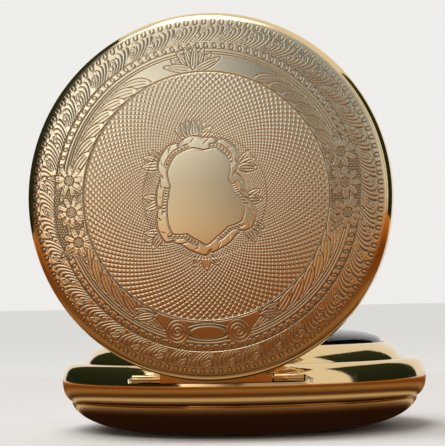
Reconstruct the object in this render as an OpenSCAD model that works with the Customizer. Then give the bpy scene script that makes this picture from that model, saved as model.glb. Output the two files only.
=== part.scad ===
// Full hunter pocket watch, shown with its cover standing open on the hinge at six o'clock.
// The origin is the centre of the flat back. +Z points up through the crystal, +Y towards the
// crown at twelve o'clock, and -Y towards the hinge. All sizes are millimetres.

/* [Case] */
// Diameter over the rounded case ring
case_d = 47; // [45:0.5:52]
// Height of the seam between the snap back and the ring
seam_z = 3.95; // [3.7:0.05:4.2]
// Height of the ring from the seam to its flat top land
ring_h = 4.9; // [4.8:0.05:5.3]
// How far the ring's rounded face swells out from its edges
ring_swell = 1.4; // [1:0.1:1.8]
// Diameter of the flat that the watch lies on
back_flat_d = 28; // [24:1:32]
// Wall thickness of the snap back
back_wall = 0.6; // [0.5:0.05:0.8]
// Height of the snap rim that grips inside the ring
snap_rim_h = 0.7; // [0.5:0.05:0.8]

/* [Bezel and crystal] */
// Gap between the bezel's foot and the wall of the closed cover
bezel_gap = 0.4; // [0.35:0.01:0.45]
// Height of the bezel above its seat in the ring
bezel_h = 2.65; // [2.4:0.05:2.9]
// Width of the bezel from its foot in to the crystal's edge
bezel_w = 2.45; // [2.4:0.05:2.7]
// Thickness of the crystal at its middle
crystal_t = 1.0; // [0.8:0.1:1.3]
// Rise of the crystal's dome above its edge
crystal_dome = 2.0; // [1.6:0.1:2.2]
// Width of the gasket between crystal and bezel
gasket_w = 0.45; // [0.35:0.05:0.5]

/* [Cover] */
// Step in from the widest part of the ring to the cover's outer face
cover_step = 2.15; // [2.05:0.05:2.3]
// Height of the cover from its rim to the top of its dome
cover_h = 5.35; // [5.2:0.05:6]
// Rise of the cover's dome inside the rounded shoulder
cover_dome = 1.08; // [0.9:0.05:1.3]
// Wall thickness of the cover
cover_wall = 0.6; // [0.5:0.05:0.65]
// Angle that the cover stands open at, from closed
cover_open = 91; // [88:0.5:93]

/* [Hinge] */
// Distance of the hinge pin in from the cover's outer face
hinge_in = 0.09; // [0.06:0.01:0.12]
// Height of the hinge pin above the flat of the back
hinge_z = 7.3; // [7.2:0.05:7.4]
// Diameter of the hinge knuckles
knuckle_d = 1.0; // [0.9:0.05:1.1]
// Length of the cover's middle knuckle
cover_knuckle_l = 13.3; // [12:0.1:13.6]
// Length of each case knuckle
case_knuckle_l = 3.5; // [3:0.1:3.8]
// Diameter of the hinge pin
hinge_pin_d = 0.5; // [0.4:0.05:0.6]

/* [Pendant, crown and bow] */
// Diameter of the pendant's neck
pendant_d = 4.6; // [4.4:0.1:4.8]
// Length of the pendant out from the ring
pendant_l = 4.6; // [4.2:0.1:5]
// Diameter of the round boss that carries the bow
boss_d = 6.6; // [6.2:0.1:7]
// Diameter of the crown
crown_d = 7.2; // [6.4:0.1:7.6]
// Length of the crown
crown_l = 4.2; // [3.6:0.1:4.6]
// Number of flutes round the crown
crown_flutes = 24; // [18:1:30]
// Diameter of the bow's wire
bow_wire_d = 2; // [1.6:0.1:2.2]
// Radius of the bow, to the middle of its wire
bow_r = 6.8; // [6.4:0.1:7.4]
// Inward travel of the crown that lets the cover go
push_travel = 0.6; // [0.5:0.05:0.7]
// Outward travel of the crown that sets the hands
pull_travel = 1.2; // [1:0.1:1.4]

/* [Dial and hands] */
// Lap of the dial past the crystal's edge, under the bezel
dial_lap = 0.7; // [0.5:0.05:0.8]
// Thickness of the dial
dial_t = 0.35; // [0.3:0.05:0.35]
// Length of the hour hand from the centre
hour_hand_l = 9.5; // [8:0.5:11]
// Length of the minute hand from the centre
minute_hand_l = 14; // [12:0.5:15.5]
// Length of the seconds hand from the centre
seconds_hand_l = 15; // [13:0.5:16]
// Thickness of a hand
hand_t = 0.15; // [0.1:0.05:0.2]
// Time shown, in minutes after twelve
shown_minutes = 608; // [0:1:719]
// Length of the seconds hand's tail behind the centre
seconds_tail_l = 4; // [3:0.5:5]
// Seconds shown
shown_seconds = 35; // [0:1:59]

/* [Movement] */
// Diameter of the quartz movement
movement_d = 25.8; // [25.4:0.1:26]
// Height of the main plate's underside above the flat of the back
plate_z = 5.3; // [5.25:0.05:5.35]
// Thickness of the main plate
plate_t = 1.9; // [1.8:0.05:2]
// Thickness of the train bridge
bridge_t = 0.35; // [0.3:0.05:0.45]
// Diameter of the battery
battery_d = 6.8; // [6.4:0.1:6.8]
// Thickness of the battery
battery_t = 2.6; // [2.1:0.1:2.6]
// Diameter of the setting stem
stem_d = 1.2; // [1:0.1:1.3]
// Module of the seconds wheel and the wheels that step it
step_module = 0.105; // [0.104:0.001:0.107]
// Module of the third wheel and the seconds pinion
third_module = 0.09; // [0.088:0.001:0.092]
// Module of the cannon pinion, the minute wheel and the setting wheel
cannon_module = 0.125; // [0.12:0.0025:0.13]
// Thickness of a wheel's toothed disc
wheel_t = 0.15; // [0.12:0.01:0.18]

/* [Hidden] */
$fn = 96;

// Colours of the finishes
GOLD = [0.86, 0.68, 0.38];
BRASS = [0.80, 0.66, 0.36];
STEEL = [0.72, 0.72, 0.74];
NICKEL = [0.78, 0.77, 0.74];
ENAMEL = [0.95, 0.94, 0.91];
BLACK = [0.10, 0.10, 0.11];
GLASS = [0.85, 0.90, 0.93, 0.4];
COPPER = [0.75, 0.42, 0.24];
GREEN = [0.12, 0.34, 0.22];
NYLON = [0.88, 0.87, 0.82];

// Clearances
fit_gap = 0.05;
run_gap = 0.02;
end_gap = 0.1;
over = 0.5;

// Radii from the ring's widest part inwards
cover_r = case_d/2 - cover_step;
bezel_r = cover_r - cover_wall - bezel_gap;
crystal_r = bezel_r - bezel_w;
dial_r = crystal_r + dial_lap;
hinge_r = cover_r - hinge_in;

// Case heights and radii
ring_r = case_d/2 - ring_swell;
ring_mid_z = seam_z + ring_h/2;
land_z = seam_z + ring_h;
stem_z = ring_mid_z;
lip_r = bezel_r + fit_gap;
bezel_seat_z = land_z - 0.65;
flange_z = bezel_seat_z - 0.35;
bezel_shelf_w = 1.1;
snap_shelf_w = 1.25;
holder_r = lip_r - bezel_shelf_w;
bore_r = holder_r + fit_gap;
snap_bore_r = bore_r + snap_shelf_w;
snap_r = snap_bore_r - fit_gap;
snap_t = 0.7;
back_rim_r = ring_r + 0.3;
back_edge = 0.15;
back_turn_in = 1.2;
back_turn_z = 0.775;
flange_r = dial_r + end_gap;
ring_bands = 15;

// Bezel, crystal and gasket
crystal_bore_r = crystal_r + gasket_w;
rehaut_r = crystal_r - 0.3;
crystal_seat_h = 1.4;
crystal_seat_z = bezel_seat_z + crystal_seat_h;
crystal_edge_z = bezel_seat_z + bezel_h;

// Cover, drawn closed and turned open about the hinge
cover_rim_z = land_z + end_gap;
cover_top_z = cover_rim_z + cover_h;
through_z = cover_top_z;
shoulder_in = 1.56;
shoulder_h = 1.6;
shoulder_r = cover_r - shoulder_in;
catch_lip_w = 0.26;
catch_lip_t = 0.35;
catch_lip_l = 2.4;
hook_l = catch_lip_l - 0.4;

// Hinge
knuckle_r = knuckle_d/2;
pin_r = hinge_pin_d/2;
strip_in = 0.6;
strip_out = 0.4;
hinge_l = cover_knuckle_l + 2*(case_knuckle_l + end_gap);

// Lock spring at twelve o'clock and lift spring at six o'clock
nose_t = 0.4;
nose_r = lip_r - nose_t;
nose_w = 3;
nose_side_gap = 0.75;
nose_arm_w = 2;
nose_hole_r = stem_d/2 + 0.45;
hook_t = 0.35;
leaf_t = 0.35;
leaf_gap = 0.2;
leaf_r = bore_r - leaf_t - leaf_gap;
leaf_z = seam_z + snap_rim_h + end_gap;
leaf_h = 0.8;
leaf_angle = 40;
leaf_end_angle = 3;
eye_r = 0.85;
eye_head_t = 0.33;
eye_at_r = bore_r - eye_r - leaf_gap;
spring_pin_r = 0.4;
relief_r = eye_at_r - eye_r - fit_gap - end_gap;
relief_half_angle = 46;
swing_in = 0.85;
finger_w = 2;
finger_t = 0.3;
finger_r = lip_r - finger_t - end_gap;
finger_tip_t = 0.2;
finger_tip_r = hinge_r + 0.04;
finger_top_z = bezel_seat_z - fit_gap;
side_gap = 0.65;
hook_z = cover_rim_z + catch_lip_t + fit_gap;

// Pendant group along +Y
bow_pin_r = 0.5;
pendant_end_y = case_d/2 + pendant_l;
boss_y = pendant_end_y - boss_d/2 + 0.4;
sleeve_r = 1.5;
sleeve_bore_r = stem_d/2 + 0.15;
sleeve_in_y = nose_r + nose_t + run_gap;
crown_y = pendant_end_y + push_travel + end_gap;
spigot_r = 1.95;
bow_pivot_y = boss_y;
bow_reach = sqrt(bow_r*bow_r - pow(boss_d/2 + bow_wire_d/2 + fit_gap, 2));
bow_drop = asin((stem_z - bow_wire_d/2 - fit_gap)/(bow_reach + bow_r));

// Heights in the movement, from the back up
movement_r = movement_d/2;
plate_top_z = plate_z + plate_t;
plate_rim_w = 1;
holder_top_z = flange_z;
holder_drop = 0.9;
holder_z = seam_z - holder_drop;
ledge_w = 0.6;
ledge_t = 0.4;
dial_z = holder_top_z;
bridge_drop = 1.8;
bridge_z = plate_z - bridge_drop;
bridge_top_z = bridge_z + bridge_t;
fifth_z = bridge_top_z + 0.1;
seconds_z = fifth_z + wheel_t + 0.2;
third_z = seconds_z + wheel_t + 0.15;
centre_z = third_z + wheel_t + 0.2;
recess_z = plate_top_z - 0.55;
cannon_z = recess_z + 0.05;
minute_z = cannon_z + 0.05;
hour_z = minute_z + wheel_t + 0.25;

// Teeth and centre distances of the going train and the motion work
tooth_tip = 0.8;
tooth_root = 1.1;
rotor_teeth = 8;
fifth_teeth = 48;
fifth_pinion_teeth = 10;
seconds_teeth = 50;
seconds_pinion_teeth = 8;
third_teeth = 60;
third_pinion_teeth = 10;
centre_teeth = 80;
cannon_teeth = 12;
minute_teeth = 36;
minute_pinion_teeth = 10;
hour_teeth = 40;
setting_teeth = 16;
third_arm = third_module*(seconds_pinion_teeth + third_teeth)/2;
centre_module = 2*third_arm/(third_pinion_teeth + centre_teeth);
fifth_arm = step_module*(fifth_pinion_teeth + seconds_teeth)/2;
rotor_arm = step_module*(rotor_teeth + fifth_teeth)/2;
minute_arm = cannon_module*(cannon_teeth + minute_teeth)/2;
hour_module = 2*minute_arm/(minute_pinion_teeth + hour_teeth);
setting_arm = cannon_module*(minute_teeth + setting_teeth)/2;
third_dir = 225;
fifth_dir = 15;
rotor_dir = 0;
third_xy = third_arm*[cos(third_dir), sin(third_dir)];
fifth_xy = fifth_arm*[cos(fifth_dir), sin(fifth_dir)];
rotor_xy = fifth_xy + rotor_arm*[cos(rotor_dir), sin(rotor_dir)];
minute_xy = [0, minute_arm];
motion_gap = 0.55;
motion_r = minute_arm + cannon_module*(minute_teeth/2 + tooth_tip) + motion_gap;
setting_xy = minute_xy + [0, setting_arm];

// Stem, its setting pinion and the groove that the setting lever's pin stands in
stem_pinion_teeth = 12;
stem_pinion_l = 1.2;
stem_pinion_r = cannon_module*(stem_pinion_teeth/2 + tooth_tip);
stem_in_y = setting_xy[1] + cannon_module*(setting_teeth/2 + tooth_tip) + push_travel + end_gap;
stem_channel_w = 2.4;
collar_y = case_d/2 + 0.5;
collar_l = 0.6;
collar_neck_r = stem_d/2 - 0.2;
crown_socket_l = 3;
groove_r = 0.35;
groove_step = 0.95;
groove_y = stem_in_y + stem_pinion_l + groove_step;

// Arbors at the centre, one round the other
seconds_arbor_r = 0.15;
centre_tube_r = 0.34;
cannon_tube_r = 0.54;
hour_pipe_r = 0.82;
arbor_r = 0.2;
hour_hand_z = dial_z + dial_t + 0.5;
minute_hand_z = hour_hand_z + hand_t + 0.4;
seconds_hand_z = minute_hand_z + hand_t + 0.4;

// Places of the fixed parts of the movement
battery_in = 0.98;
battery_dir = 144;
battery_xy = (movement_r - battery_in - battery_d/2)*[cos(battery_dir), sin(battery_dir)];
battery_z = bridge_z + 0.05;
pillars = [[-7.2, -4.0], [5.2, -5.4], [4.2, 5.6]];
pillar_r = 0.95;
screw_r = 0.45;
magnet_r = 1.1;
coil_l = 9;
coil_x = (rotor_xy[0] + magnet_r + sqrt(pow(movement_r, 2) - pow(coil_l/2, 2)))/2;
coil_r = 1.25;
coil_z = plate_z - coil_r - fit_gap;
core_r = 0.45;
core_end_t = 0.6;
core_foot_l = 1;
core_foot_w = 1.4;
core_end_y = coil_l/2 + core_foot_l/2 + end_gap;
elbow_x = coil_x - coil_r - core_foot_l/2 - end_gap;
stator_z = coil_z + core_end_t/2;
stator_t = 0.4;
magnet_h = 0.8;
board_z = bridge_z + 0.05;
board_t = 0.3;
can_r = 0.7;
board_w = 18;
board_in = 0.9;
board_gap = 0.85;
bridge_lap = 0.3;
bridge_end_r = 1.6;
board_edge_y = pillars[1][1] - pillar_r - bridge_lap - board_gap;
board_mid_y = (board_edge_y + board_in - movement_r)/2;
post_r = 0.4;
post_in = 1.3;
post_y = board_edge_y - 0.9;
post_x = sqrt(pow(movement_r - post_in, 2) - pow(post_y, 2));
board_posts = [[-post_x, post_y], [post_x, post_y]];
can_l = 4.8;
chip_w = 2.4;
lever_pivot = [3.1, groove_y];
lever_t = 0.25;
lever_end_r = 0.8;
lever_pin_r = 0.25;
lever_z = stem_z + stem_d/2 + 0.3;
foot_r = 0.35;
foot_in = 1.85;
foot_dir = 30;
foot_end_h = 0.6;
foot_xy = (movement_r - foot_in)*[cos(foot_dir), sin(foot_dir)];
dial_feet = [-foot_xy, foot_xy];
clamp_in = 2.3;
clamp_dir = 183;
clamp_xy = (movement_r - clamp_in)*[cos(clamp_dir), sin(clamp_dir)];
clamp_t = 0.2;

function bezier(p, q, s, n) =
    [for (i = [0:n]) let (t = i/n) (1 - t)*(1 - t)*p + 2*t*(1 - t)*q + t*t*s];
// Turn of gear b that lets it mesh with gear a, which lies at the angle dir the other way
function meshed(turn_a, teeth_a, teeth_b, dir) =
    let (u = (dir - turn_a)*teeth_a/360, part = u - floor(u))
    dir + 180 - 360/teeth_b*(0.5 - part);

third_turn = meshed(0, seconds_pinion_teeth, third_teeth, third_dir);
centre_turn = meshed(third_turn, third_pinion_teeth, centre_teeth, third_dir + 180);
fifth_turn = meshed(0, seconds_teeth, fifth_pinion_teeth, fifth_dir);
rotor_turn = meshed(fifth_turn, fifth_teeth, rotor_teeth, rotor_dir);
minute_turn = meshed(0, cannon_teeth, minute_teeth, 90);
hour_turn = meshed(minute_turn, minute_pinion_teeth, hour_teeth, 270);
setting_turn = meshed(minute_turn, minute_teeth, setting_teeth, 90);

// A cylinder that lies along Y, from y0 to y1 at the height of the stem
module along_y(y0, y1, r) {
    translate([0, y0, stem_z]) rotate([-90, 0, 0]) cylinder(r = r, h = y1 - y0);
}

// A cylinder that lies along X, centred on the hinge axis
module along_hinge(l, r) {
    translate([-l/2, -hinge_r, hinge_z]) rotate([0, 90, 0]) cylinder(r = r, h = l);
}

// A flat ring between two heights
module tube(r_out, r_in, z0, z1) {
    rotate_extrude() translate([r_in, z0]) square([r_out - r_in, z1 - z0]);
}

// Turns what is drawn closed to the cover's open position
module opened() {
    translate([0, -hinge_r, hinge_z]) rotate([cover_open, 0, 0])
        translate([0, hinge_r, -hinge_z]) children();
}

// A post that stands on the underside of the main plate, down to a height
module post(xy, z, r) {
    translate([xy[0], xy[1], z]) cylinder(r = r, h = plate_z + 0.1 - z);
}

// A spur gear with straight-sided teeth
module gear(teeth, m, t, turn = 0) {
    pitch = 360/teeth;
    r = teeth*m/2;
    root = r - tooth_root*m;
    tip = r + tooth_tip*m;
    linear_extrude(t) polygon([for (i = [0:teeth - 1]) for (k = [[root, -0.3], [tip, -0.12],
        [tip, 0.12], [root, 0.3]]) let (a = turn + pitch*(i + k[1])) k[0]*[cos(a), sin(a)]]);
}

// The ring's outline with its rounded outer face, in an odd number of bands so that none ends
// at the height of the stem
module ring_face() {
    polygon(concat([[0, seam_z], [ring_r, seam_z]],
        [for (i = [1:ring_bands - 1]) let (a = -90 + 180*i/ring_bands)
            [ring_r + ring_swell*cos(a), ring_mid_z + ring_h/2*sin(a)]],
        [[ring_r, land_z], [0, land_z]]));
}

module case_middle() color(GOLD) difference() {
    rotate_extrude() difference() {
        ring_face();
        translate([-1, 0]) square([bore_r + 1, flange_z]);
        translate([-1, 0]) square([flange_r + 1, land_z + 1]);
        translate([0, bezel_seat_z]) square([lip_r, 2]);
        translate([0, seam_z - 1]) square([snap_bore_r, snap_rim_h + 1 + end_gap]);
    }
    // Straight ledge and grooves for the hinge
    ledge_half = hinge_l/2 + end_gap;
    translate([-ledge_half, -case_d/2 - 1, hinge_z - knuckle_r - run_gap])
        cube([2*ledge_half, case_d/2 + 1 - hinge_r, land_z]);
    along_hinge(hinge_l + 2*end_gap, knuckle_r + run_gap);
    // Pocket behind the pin for the cover's knuckle
    translate([-cover_knuckle_l/2 - end_gap, -hinge_r - over, hinge_z])
        cube([cover_knuckle_l + 2*end_gap, over + strip_in + fit_gap, land_z]);
    // Slot for the lift spring's finger, which swings in as the cover closes
    translate([-finger_w/2 - end_gap, -finger_tip_r - fit_gap, leaf_z - end_gap])
        cube([finger_w + side_gap + end_gap, finger_tip_r + fit_gap - finger_r + swing_in + fit_gap,
            bezel_seat_z - leaf_z + end_gap]);
    // Slot for the nose of the lock spring
    translate([-nose_w/2 - end_gap, nose_r - swing_in - fit_gap, leaf_z - end_gap])
        cube([nose_w + nose_side_gap + end_gap, lip_r - nose_r + swing_in + 2*fit_gap, land_z]);
    along_y(bore_r - 1, case_d, spigot_r + run_gap);
}

module case_back() color(GOLD) rotate_extrude() polygon(concat([[0, 0]],
    bezier([back_flat_d/2, 0], [back_rim_r - back_turn_in, back_turn_z],
        [back_rim_r, seam_z - back_edge], 12),
    [[back_rim_r - back_edge, seam_z], [snap_r, seam_z], [snap_r, seam_z + snap_rim_h],
        [snap_r - snap_t, seam_z + snap_rim_h]],
    bezier([snap_r - snap_t, seam_z], [back_rim_r - back_turn_in - 1.75, back_turn_z + back_wall],
        [back_flat_d/2 - back_wall, back_wall], 10),
    [[0, back_wall]]));

module bezel() color(GOLD) difference() {
    rotate_extrude() difference() {
        polygon(concat([[rehaut_r, bezel_seat_z + 0.5], [flange_r + 0.3, bezel_seat_z],
            [bezel_r, bezel_seat_z]],
            bezier([bezel_r, bezel_seat_z + 0.6], [bezel_r - 0.35, crystal_edge_z - 0.75],
                [crystal_bore_r + 0.12, crystal_edge_z], 8),
            [[rehaut_r, crystal_edge_z]]));
        translate([0, crystal_seat_z]) square([crystal_bore_r, bezel_h]);
    }
    // Notch that the lock spring's nose stands in
    translate([-nose_w/2 - end_gap, nose_r - swing_in, 0])
        cube([nose_w + nose_side_gap + end_gap, 3, crystal_edge_z - 0.7]);
}

module crystal() color(GLASS) rotate_extrude() polygon(concat(
    [[0, crystal_edge_z + crystal_dome - crystal_t]],
    [for (i = [1:10]) let (r = (crystal_r - 0.6)*sin(9*i))
        [r, crystal_edge_z - crystal_t + crystal_dome*sqrt(1 - pow(r/crystal_r, 4))]],
    [[crystal_r - 0.6, crystal_seat_z], [crystal_r, crystal_seat_z]],
    [for (i = [0:14]) let (r = crystal_r*cos(90*i/14))
        [r, crystal_edge_z + 0.05 + crystal_dome*sqrt(max(0, 1 - pow(r/crystal_r, 4)))]]));

module crystal_gasket() color(BLACK)
    tube(crystal_bore_r, crystal_r, crystal_seat_z, crystal_edge_z - end_gap);

module cover_outline(inset) {
    polygon(concat([[0, cover_rim_z], [cover_r - inset, cover_rim_z]],
        bezier([cover_r - inset, cover_top_z - cover_dome - shoulder_h],
            [cover_r - inset, cover_top_z - cover_dome*1.15 - inset],
            [shoulder_r - inset, cover_top_z - cover_dome - inset], 10),
        [for (i = [1:8]) let (r = (shoulder_r - inset)*(1 - i/8))
            [r, cover_top_z - inset - cover_dome*pow(r/(shoulder_r - inset), 2)]]));
}

module front_cover() color(GOLD) opened() union() {
    rotate_extrude() difference() {
        cover_outline(0);
        translate([0, -0.01]) cover_outline(cover_wall);
    }
    // Catch lip at twelve o'clock
    intersection() {
        tube(cover_r - cover_wall/2, cover_r - cover_wall - catch_lip_w, cover_rim_z,
            cover_rim_z + catch_lip_t);
        translate([-catch_lip_l/2, 0, 0]) cube([catch_lip_l, cover_r, cover_top_z]);
    }
}

module cover_knuckle() color(GOLD) opened() difference() {
    union() {
        along_hinge(cover_knuckle_l, knuckle_r);
        translate([-cover_knuckle_l/2, -hinge_r - strip_out, hinge_z])
            cube([cover_knuckle_l, strip_in + strip_out, cover_rim_z - hinge_z]);
    }
    along_hinge(cover_knuckle_l + 1, pin_r + run_gap);
}

module hinge_knuckles() color(GOLD) for (side = [-1, 1]) difference() {
    translate([side*(cover_knuckle_l/2 + end_gap + case_knuckle_l/2), 0, 0])
        along_hinge(case_knuckle_l, knuckle_r);
    along_hinge(hinge_l + 1, pin_r);
}

module hinge_pin() color(STEEL) along_hinge(hinge_l, pin_r);

module pendant() color(GOLD) difference() {
    union() {
        difference() {
            union() {
                along_y(ring_r - 1, pendant_end_y, pendant_d/2);
                translate([0, boss_y, stem_z]) rotate([-90, 0, 0]) rotate_extrude() intersection() {
                    circle(r = boss_d/2);
                    translate([0, -boss_d/2]) square([boss_d, boss_d/2 + pendant_end_y - boss_y]);
                }
            }
            rotate_extrude() ring_face();
        }
        along_y(lip_r + 0.3, case_d/2, spigot_r);
    }
    along_y(ring_r - 2, pendant_end_y + 1, sleeve_r + run_gap);
    // Holes that the bow's screws pivot in
    translate([-boss_d, bow_pivot_y, stem_z]) rotate([0, 90, 0])
        cylinder(r = bow_pin_r, h = 2*boss_d);
}

// The bow in its own plane, which passes through the pivots along X
module bow_flat() {
    eye_x = boss_d/2 + fit_gap;
    open_angle = asin((eye_x + bow_wire_d/2)/bow_r);
    difference() {
        union() {
            translate([0, bow_reach, 0]) rotate(-90 + open_angle)
                rotate_extrude(angle = 360 - 2*open_angle) translate([bow_r, 0])
                    circle(r = bow_wire_d/2, $fn = 32);
            for (side = [-1, 1]) translate([side*(eye_x + bow_wire_d/2), 0, 0])
                rotate([0, 90, 0]) cylinder(r = bow_wire_d/2 + 0.2, h = bow_wire_d, center = true);
        }
        translate([-bow_r, 0, 0]) rotate([0, 90, 0])
            cylinder(r = bow_pin_r + run_gap, h = 2*bow_r);
        for (side = [-1, 1]) rotate([0, 90*side, 0]) translate([0, 0, eye_x + bow_wire_d])
            cylinder(r = bow_pin_r + 0.35 + fit_gap, h = bow_wire_d);
    }
}

module bow() color(GOLD) translate([0, bow_pivot_y, stem_z]) rotate([-bow_drop, 0, 0]) bow_flat();

module bow_screws() color(GOLD) for (side = [-1, 1])
    translate([0, bow_pivot_y, stem_z]) rotate([0, 90*side, 0]) {
        translate([0, 0, sleeve_r + 0.3])
            cylinder(r = bow_pin_r, h = boss_d/2 + bow_wire_d + 2*fit_gap - sleeve_r - 0.3);
        translate([0, 0, boss_d/2 + bow_wire_d + 2*fit_gap]) difference() {
            cylinder(r = bow_pin_r + 0.35, h = 0.4);
            translate([-1, -0.1, 0.2]) cube([2, 0.2, 1]);
        }
    }

module crown() color(GOLD) difference() {
    translate([0, crown_y, stem_z]) rotate([-90, 0, 0]) rotate_extrude()
        polygon(concat([[0, 0], [crown_d/2 - 0.5, 0], [crown_d/2, 0.5]],
            bezier([crown_d/2, crown_l - 1.1], [crown_d/2 - 0.1, crown_l - 0.1],
                [0, crown_l], 8)));
    for (i = [0:crown_flutes - 1]) rotate_about_stem(360*i/crown_flutes)
        along_flute();
    along_y(crown_y - 1, crown_y + crown_socket_l, stem_d/2);
}

module rotate_about_stem(a) {
    translate([0, 0, stem_z]) rotate([0, a, 0]) translate([0, 0, -stem_z]) children();
}

module along_flute() {
    translate([crown_d/2 + 0.12, crown_y - 1, stem_z]) rotate([-90, 0, 0])
        cylinder(r = 0.32, h = crown_l, $fn = 24);
}

module setting_stem() color(STEEL) difference() {
    union() {
        along_y(stem_in_y + stem_pinion_l, crown_y + crown_socket_l, stem_d/2);
        // Setting pinion at the inner end
        translate([0, stem_in_y, stem_z]) rotate([-90, 0, 0])
            gear(stem_pinion_teeth, cannon_module, stem_pinion_l);
    }
    // Groove of the setting lever, and neck of the collar
    difference() {
        along_y(groove_y - lever_pin_r - run_gap, groove_y + lever_pin_r + push_travel + end_gap,
            stem_d);
        along_y(groove_y - 1, groove_y + 2, groove_r);
    }
    difference() {
        along_y(collar_y, collar_y + collar_l, stem_d);
        along_y(collar_y - 1, collar_y + collar_l + 1, collar_neck_r);
    }
}

module detent_collar() color(STEEL) difference() {
    along_y(collar_y + fit_gap, collar_y + collar_l - fit_gap, sleeve_bore_r - run_gap);
    along_y(collar_y - 1, collar_y + 1, collar_neck_r + run_gap);
    translate([-0.15, collar_y - 1, stem_z]) cube([0.3, 3, 2]);
}

module push_sleeve() color(STEEL) difference() {
    along_y(sleeve_in_y, crown_y - run_gap, sleeve_r);
    along_y(sleeve_in_y - 1, crown_y + 1, sleeve_bore_r);
}

// Places a shape, drawn upward from the leaf's underside, at a spring's eye; side 1 is twelve
module spring_eye(side) {
    a = 90 + leaf_angle;
    mirror([0, side < 0 ? 1 : 0, 0]) translate([eye_at_r*cos(a), eye_at_r*sin(a), leaf_z])
        children();
}

// A leaf that hugs the ring's bore from its screwed eye to its free end
module leaf(side) {
    difference() {
        union() {
            intersection() {
                tube(leaf_r + leaf_t, leaf_r, leaf_z, leaf_z + leaf_h);
                mirror([0, side < 0 ? 1 : 0, 0]) linear_extrude(through_z) polygon([[0, 0],
                    case_d*[sin(leaf_end_angle), cos(leaf_end_angle)], case_d*[-sin(15), cos(15)],
                    case_d*[-sin(leaf_angle), cos(leaf_angle)]]);
            }
            spring_eye(side) cylinder(r = eye_r, h = leaf_h);
        }
        spring_eye(side) translate([0, 0, -1]) cylinder(r = spring_pin_r + run_gap, h = leaf_h + 2);
    }
}

module lock_spring() color(STEEL) {
    leaf(1);
    difference() {
        union() {
            translate([-nose_arm_w/2, leaf_r + leaf_t/2, leaf_z])
                cube([nose_arm_w, nose_r + nose_t/2 - leaf_r - leaf_t/2, leaf_h]);
            translate([-nose_w/2, nose_r, leaf_z]) cube([nose_w, nose_t, hook_z + hook_t - leaf_z]);
            translate([-hook_l/2, nose_r, hook_z])
                cube([hook_l, cover_r - cover_wall - fit_gap - nose_r, hook_t]);
        }
        along_y(leaf_r - 1, case_d/2, nose_hole_r);
    }
}

module lift_spring() color(STEEL) {
    leaf(-1);
    translate([-finger_w/2, -finger_r - finger_t, leaf_z])
        cube([finger_w, finger_r + finger_t - leaf_r - leaf_t/2, leaf_h]);
    translate([-finger_w/2, -finger_r - finger_t, leaf_z])
        cube([finger_w, finger_t, finger_top_z - leaf_z]);
    translate([-finger_w/2, -finger_tip_r, finger_top_z - finger_tip_t])
        cube([finger_w, finger_tip_r - finger_r, finger_tip_t]);
}

module spring_screws() color(STEEL) for (side = [-1, 1]) spring_eye(side) {
    translate([0, 0, -eye_head_t - run_gap]) cylinder(r = spring_pin_r, h = flange_z - leaf_z + 0.25);
    translate([0, 0, -eye_head_t - run_gap]) cylinder(r = eye_r, h = eye_head_t);
}

// Sector that is cleared round the springs
module relief_sector() {
    for (side = [-1, 1]) mirror([0, side < 0 ? 1 : 0, 0]) rotate(90 - relief_half_angle + 30)
        rotate_extrude(angle = 2*relief_half_angle - 30) translate([relief_r, 0])
            square([5, plate_top_z]);
}

module movement_holder() color(NYLON) difference() {
    union() {
        tube(holder_r, movement_r + fit_gap, holder_z, holder_top_z);
        tube(movement_r + end_gap, movement_r - ledge_w, plate_z - ledge_t, plate_z);
    }
    relief_sector();
    for (side = [-1, 1]) mirror([0, side < 0 ? 1 : 0, 0])
        translate([-nose_w/2 - end_gap, nose_r - swing_in - 2*fit_gap, 0])
            cube([nose_w + nose_side_gap + end_gap, 3, holder_top_z + 1]);
    along_y(movement_r - 1, holder_r + 1, stem_d/2 + 0.2);
    for (side = [-1, 1]) spring_eye(side) cylinder(r = spring_pin_r + run_gap, h = holder_top_z);
}

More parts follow.
